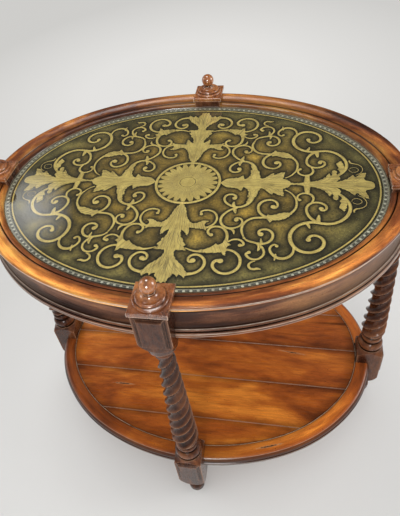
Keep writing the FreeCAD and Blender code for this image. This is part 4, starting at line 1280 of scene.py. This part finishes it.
class TABLE_OT_wood(bpy.types.Operator):
    """Stains and varnishes every wooden piece"""
    bl_idname = "accent_table.wood"
    bl_label = "Wood finishes"

    def execute(self, context):
        wood = context.scene.table_wood
        shelf = stain(wood, "shelf_dark", "shelf_mid", "shelf_light", "shelf_amber")
        rim = stain(wood, "rim_dark", "rim_mid", "rim_light", "rim_amber")
        leg = stain(wood, "leg_dark", "leg_mid", "leg_light", "leg_rubbed")
        cove = stain(wood, "leg_dark", "leg_mid", "apron_light", "apron_rubbed")
        cap = stain(wood, "cap_dark", "cap_mid", "cap_light", "cap_rubbed")
        boards = wood_material("shelf boards", STRAIGHT, shelf, 11.0, board_shade, specular=0.2, coat=0.15)
        border = wood_material("shelf border", CURVED, shelf, 13.0, border_shade, border_glint,
                               specular=0.25, arris=PALE_HIGHLIGHT)
        moulding = wood_material("rim moulding", CURVED, rim, 16.0, rim_shade, rim_glint,
                                 arris=PALE_HIGHLIGHT, quirk_shading=RIM_QUIRK_SHADE)
        apron = wood_material("dark apron", CURVED, cove, 14.0, apron_shade, apron_glint,
                              specular=0.2, coat=0.12, arris=PALE_HIGHLIGHT)
        turned = wood_material("dark turned wood", UPRIGHT, leg, 22.0, leg_shade, gloss=0.2, coat=0.55,
                               specular=0.08, arris=LEG_ARRIS_WEAR_AND_HIGHLIGHT, arris_reach=1.2 * MM, quirk_shading=LEG_QUIRK_SHADE,
                               ridge_wear_and_highlight=LEG_RIDGE_WEAR_AND_HIGHLIGHT)
        caps = wood_material("caps and finials", UPRIGHT, cap, 24.0, gloss=0.2, coat=1.0, coat_ior=2.0,
                             arris=CAP_ARRIS_WEAR_AND_HIGHLIGHT, arris_reach=1.7 * MM, quirk_shading=CAP_QUIRK_SHADE)
        plain = mottled_material("plain wood", "unstained grain",
                                 [(0.3, (0.16, 0.09, 0.045)), (0.7, (0.30, 0.19, 0.10))], 0.7,
                                 scale=(1, 0.06, 1))
        for quarter in QUARTERS:
            dress("rim_" + quarter, moulding)
            dress("apron_" + quarter, apron)
            dress("shelf_border_" + quarter, border)
            dress("glue_block_" + quarter, plain)
        for side in SIDES:
            dress("leg_" + side, turned)
            dress("foot_" + side, turned)
            dress("cap_plate_" + side, caps)
            dress("finial_" + side, caps)
        for index in range(6):
            dress("shelf_board_%d" % (index + 1), boards)
        for node in ("sub_top", "shelf_batten_left", "shelf_batten_right", "apron_dowels", "shelf_dowels"):
            dress(node, plain)
        return {"FINISHED"}


class TABLE_OT_fixings(bpy.types.Operator):
    """Finishes the screws and the glides"""
    bl_idname = "accent_table.fixings"
    bl_label = "Screws and glides"

    def execute(self, context):
        steel = mottled_material("screw steel", "steel grain", [(0.3, 0.22), (0.7, 0.42)], 0.4, metallic=1.0)
        felt = mottled_material("glide felt", "felt pile",
                                [(0.3, (0.02, 0.015, 0.012)), (0.7, (0.06, 0.045, 0.035))], 0.95)
        dress("seat_screws", steel)
        dress("batten_screws", steel)
        dress("foot_glides", felt)
        return {"FINISHED"}


class TABLE_OT_stage(bpy.types.Operator):
    """Sets the floor, the lamps and the camera"""
    bl_idname = "accent_table.stage"
    bl_label = "Stage"

    # Camera found from the photograph's perspective, for a picture of 400 by 516 points
    place = (0.1774, -0.6823, 1.1594)
    yaw, pitch, roll = -0.2755, 0.7512, -0.1529
    focal_points, centre_point, picture = 504.395, (187.05, 233.45), (400, 516)

    # Lamps: place, size and the setting that holds their power
    lamps = {
        "overhead_softbox": ((-0.35, 0.45, 2.75), 1.1, "overhead_power"),
        "window_glow": ((-1.40, 1.46, 2.02), 0.52, "glow_power"),
        "left_softbox": ((-3.2, 0.6, 1.8), 2.1, "left_power"),
        "right_softbox": ((3.2, 0.6, 1.8), 2.1, "right_power"),
        "front_softbox": ((0.1, -2.6, 1.7), 1.1, "front_power"),
    }
    target = (0, 0, 0.4)
    lamp_gain = 3.0
    lamp_stops = [(0.05, 1), (0.5, 0)]

    # Polished faces mirror a dim room, and the glass a dark screen, so that only the lamps glare
    screen = (-0.195, 0.729, 0.656)
    screen_stops = [(0.60, 0.30), (0.84, 0.06)]

    # Shares of the span from the middle of the floor, or of the ground behind, to its paler parts
    span = 3.0
    ground_middle = (-0.3, 1.5, 0)
    floor_stops = [(0.125, 1.0), (0.17, 0.89), (0.24, 0.79)]
    ground_places = (0.18, 0.46)
    floor_end_stops = [(0.15, 0), (0.40, 1)]

    def execute(self, context):
        stage = context.scene.table_stage
        self.floor(stage)
        for name, (place, size, setting) in self.lamps.items():
            self.lamp(name, place, size, getattr(stage, setting))
        self.room(context, stage)
        context.scene.view_settings.view_transform = "Standard"
        self.camera(context)
        return {"FINISHED"}

    def room(self, context, stage):
        """Even light from all round, which polished faces see darker."""
        world = bpy.data.worlds.new("studio")
        world.use_nodes = True
        tree = world.node_tree
        direction = add(tree, "TexCoord").outputs["Generated"]
        toward = add(tree, "VectorMath", {0: direction, 1: self.screen}, operation="DOT_PRODUCT")
        mirrored = ramp(tree, toward.outputs["Value"], self.screen_stops)
        glow = mix(tree, add(tree, "LightPath").outputs["Is Glossy Ray"], grey(1), mirrored)
        feed(tree, tree.nodes["Background"], {0: glow, 1: stage.world_strength})
        context.scene.world = world

    def floor(self, stage):
        """A round floor that passes into an evenly lit ground as the camera looks further away."""
        bm = bmesh.new()
        bmesh.ops.create_circle(bm, cap_ends=True, segments=96, radius=stage.floor_radius)
        mesh = bpy.data.meshes.new("floor")
        bm.to_mesh(mesh)
        bm.free()
        floor = bpy.data.objects.new("floor", mesh)
        bpy.context.scene.collection.objects.link(floor)
        material, tree, shader = new_material("pale floor")
        share = calc(tree, "DIVIDE", length(tree, object_place(tree)), self.span)
        near = multiply(tree, rgba(stage.floor_near), ramp(tree, share, self.floor_stops))
        feed(tree, shader, {"Base Color": near, "Roughness": 0.8, "Specular IOR Level": 0.1})
        behind = vector_math(tree, "SUBTRACT", object_place(tree), self.ground_middle)
        colours = (stage.backdrop_near, stage.backdrop_far)
        ground = ramp(tree, calc(tree, "DIVIDE", length(tree, behind), self.span),
                      list(zip(self.ground_places, colours)))
        glow = add(tree, "Emission", {0: ground})
        away = ramp(tree, share, self.floor_end_stops)
        seen = calc(tree, "MULTIPLY", away, add(tree, "LightPath").outputs["Is Camera Ray"])
        both = add(tree, "MixShader", {0: seen, 1: shader.outputs[0], 2: glow.outputs[0]})
        feed(tree, tree.nodes["Material Output"], {"Surface": both.outputs[0]})
        mesh.materials.append(material)

    def lamp(self, name, place, size, power):
        """A square lamp that is brightest in its middle."""
        data = bpy.data.lights.new(name, "AREA")
        data.shape = "SQUARE"
        data.size = size
        data.energy = power
        lamp = bpy.data.objects.new(name, data)
        bpy.context.scene.collection.objects.link(lamp)
        lamp.location = place
        aim = Vector(self.target) - lamp.location
        lamp.rotation_mode = "QUATERNION"
        lamp.rotation_quaternion = aim.to_track_quat("-Z", "Y")
        data.use_nodes = True
        tree = data.node_tree
        across = add(tree, "NewGeometry").outputs["Parametric"]
        offset = vector_math(tree, "SUBTRACT", across, (0.5, 0.5, 0))
        soft = ramp(tree, length(tree, offset), self.lamp_stops)
        feed(tree, tree.nodes["Emission"], {"Color": soft, "Strength": self.lamp_gain})

    def camera(self, context):
        """The camera, turned and shifted as the photograph was taken and cut."""
        facing = Vector((math.sin(self.yaw), math.cos(self.yaw), 0))
        level = Vector((math.cos(self.yaw), -math.sin(self.yaw), 0))
        forward = facing * math.cos(self.pitch) - Vector((0, 0, math.sin(self.pitch)))
        rise = level.cross(forward)
        right = level * math.cos(self.roll) + rise * math.sin(self.roll)
        up = rise * math.cos(self.roll) - level * math.sin(self.roll)
        turn = Matrix((right, up, -forward)).transposed().to_4x4()
        data = bpy.data.cameras.new("camera")
        camera = bpy.data.objects.new("camera", data)
        context.scene.collection.objects.link(camera)
        camera.matrix_world = Matrix.Translation(self.place) @ turn
        wide, high = self.picture
        data.sensor_width = 36
        data.lens = self.focal_points / high * data.sensor_width
        data.shift_x = (wide / 2 - self.centre_point[0]) / high
        data.shift_y = (self.centre_point[1] - high / 2) / high
        data.clip_start = 0.05
        data.clip_end = 50
        context.scene.camera = camera


class TABLE_PT_table(bpy.types.Panel):
    """Shows a button for each of the table's operators"""
    bl_label = "Table"
    bl_idname = "TABLE_PT_table"
    bl_space_type = "VIEW_3D"
    bl_region_type = "UI"
    bl_category = "Table"

    def draw(self, context):
        for operator in OPERATORS:
            self.layout.operator(operator.bl_idname)


SETTINGS = {"table_wood": WoodSettings, "table_top": TopSettings, "table_stage": StageSettings}
OPERATORS = (TABLE_OT_wood, TABLE_OT_ornament, TABLE_OT_panel, TABLE_OT_beads, TABLE_OT_glass,
             TABLE_OT_fixings, TABLE_OT_stage)


def register():
    for made in (*SETTINGS.values(), *OPERATORS, TABLE_PT_table):
        bpy.utils.register_class(made)
    for name, group in SETTINGS.items():
        setattr(bpy.types.Scene, name, bpy.props.PointerProperty(type=group))


def unregister():
    for name in SETTINGS:
        delattr(bpy.types.Scene, name)
    for made in (TABLE_PT_table, *OPERATORS, *SETTINGS.values()):
        bpy.utils.unregister_class(made)


def main():
    register()
    for operator in OPERATORS:
        family, name = operator.bl_idname.split(".")
        getattr(getattr(bpy.ops, family), name)()


if __name__ == "__main__":
    main()
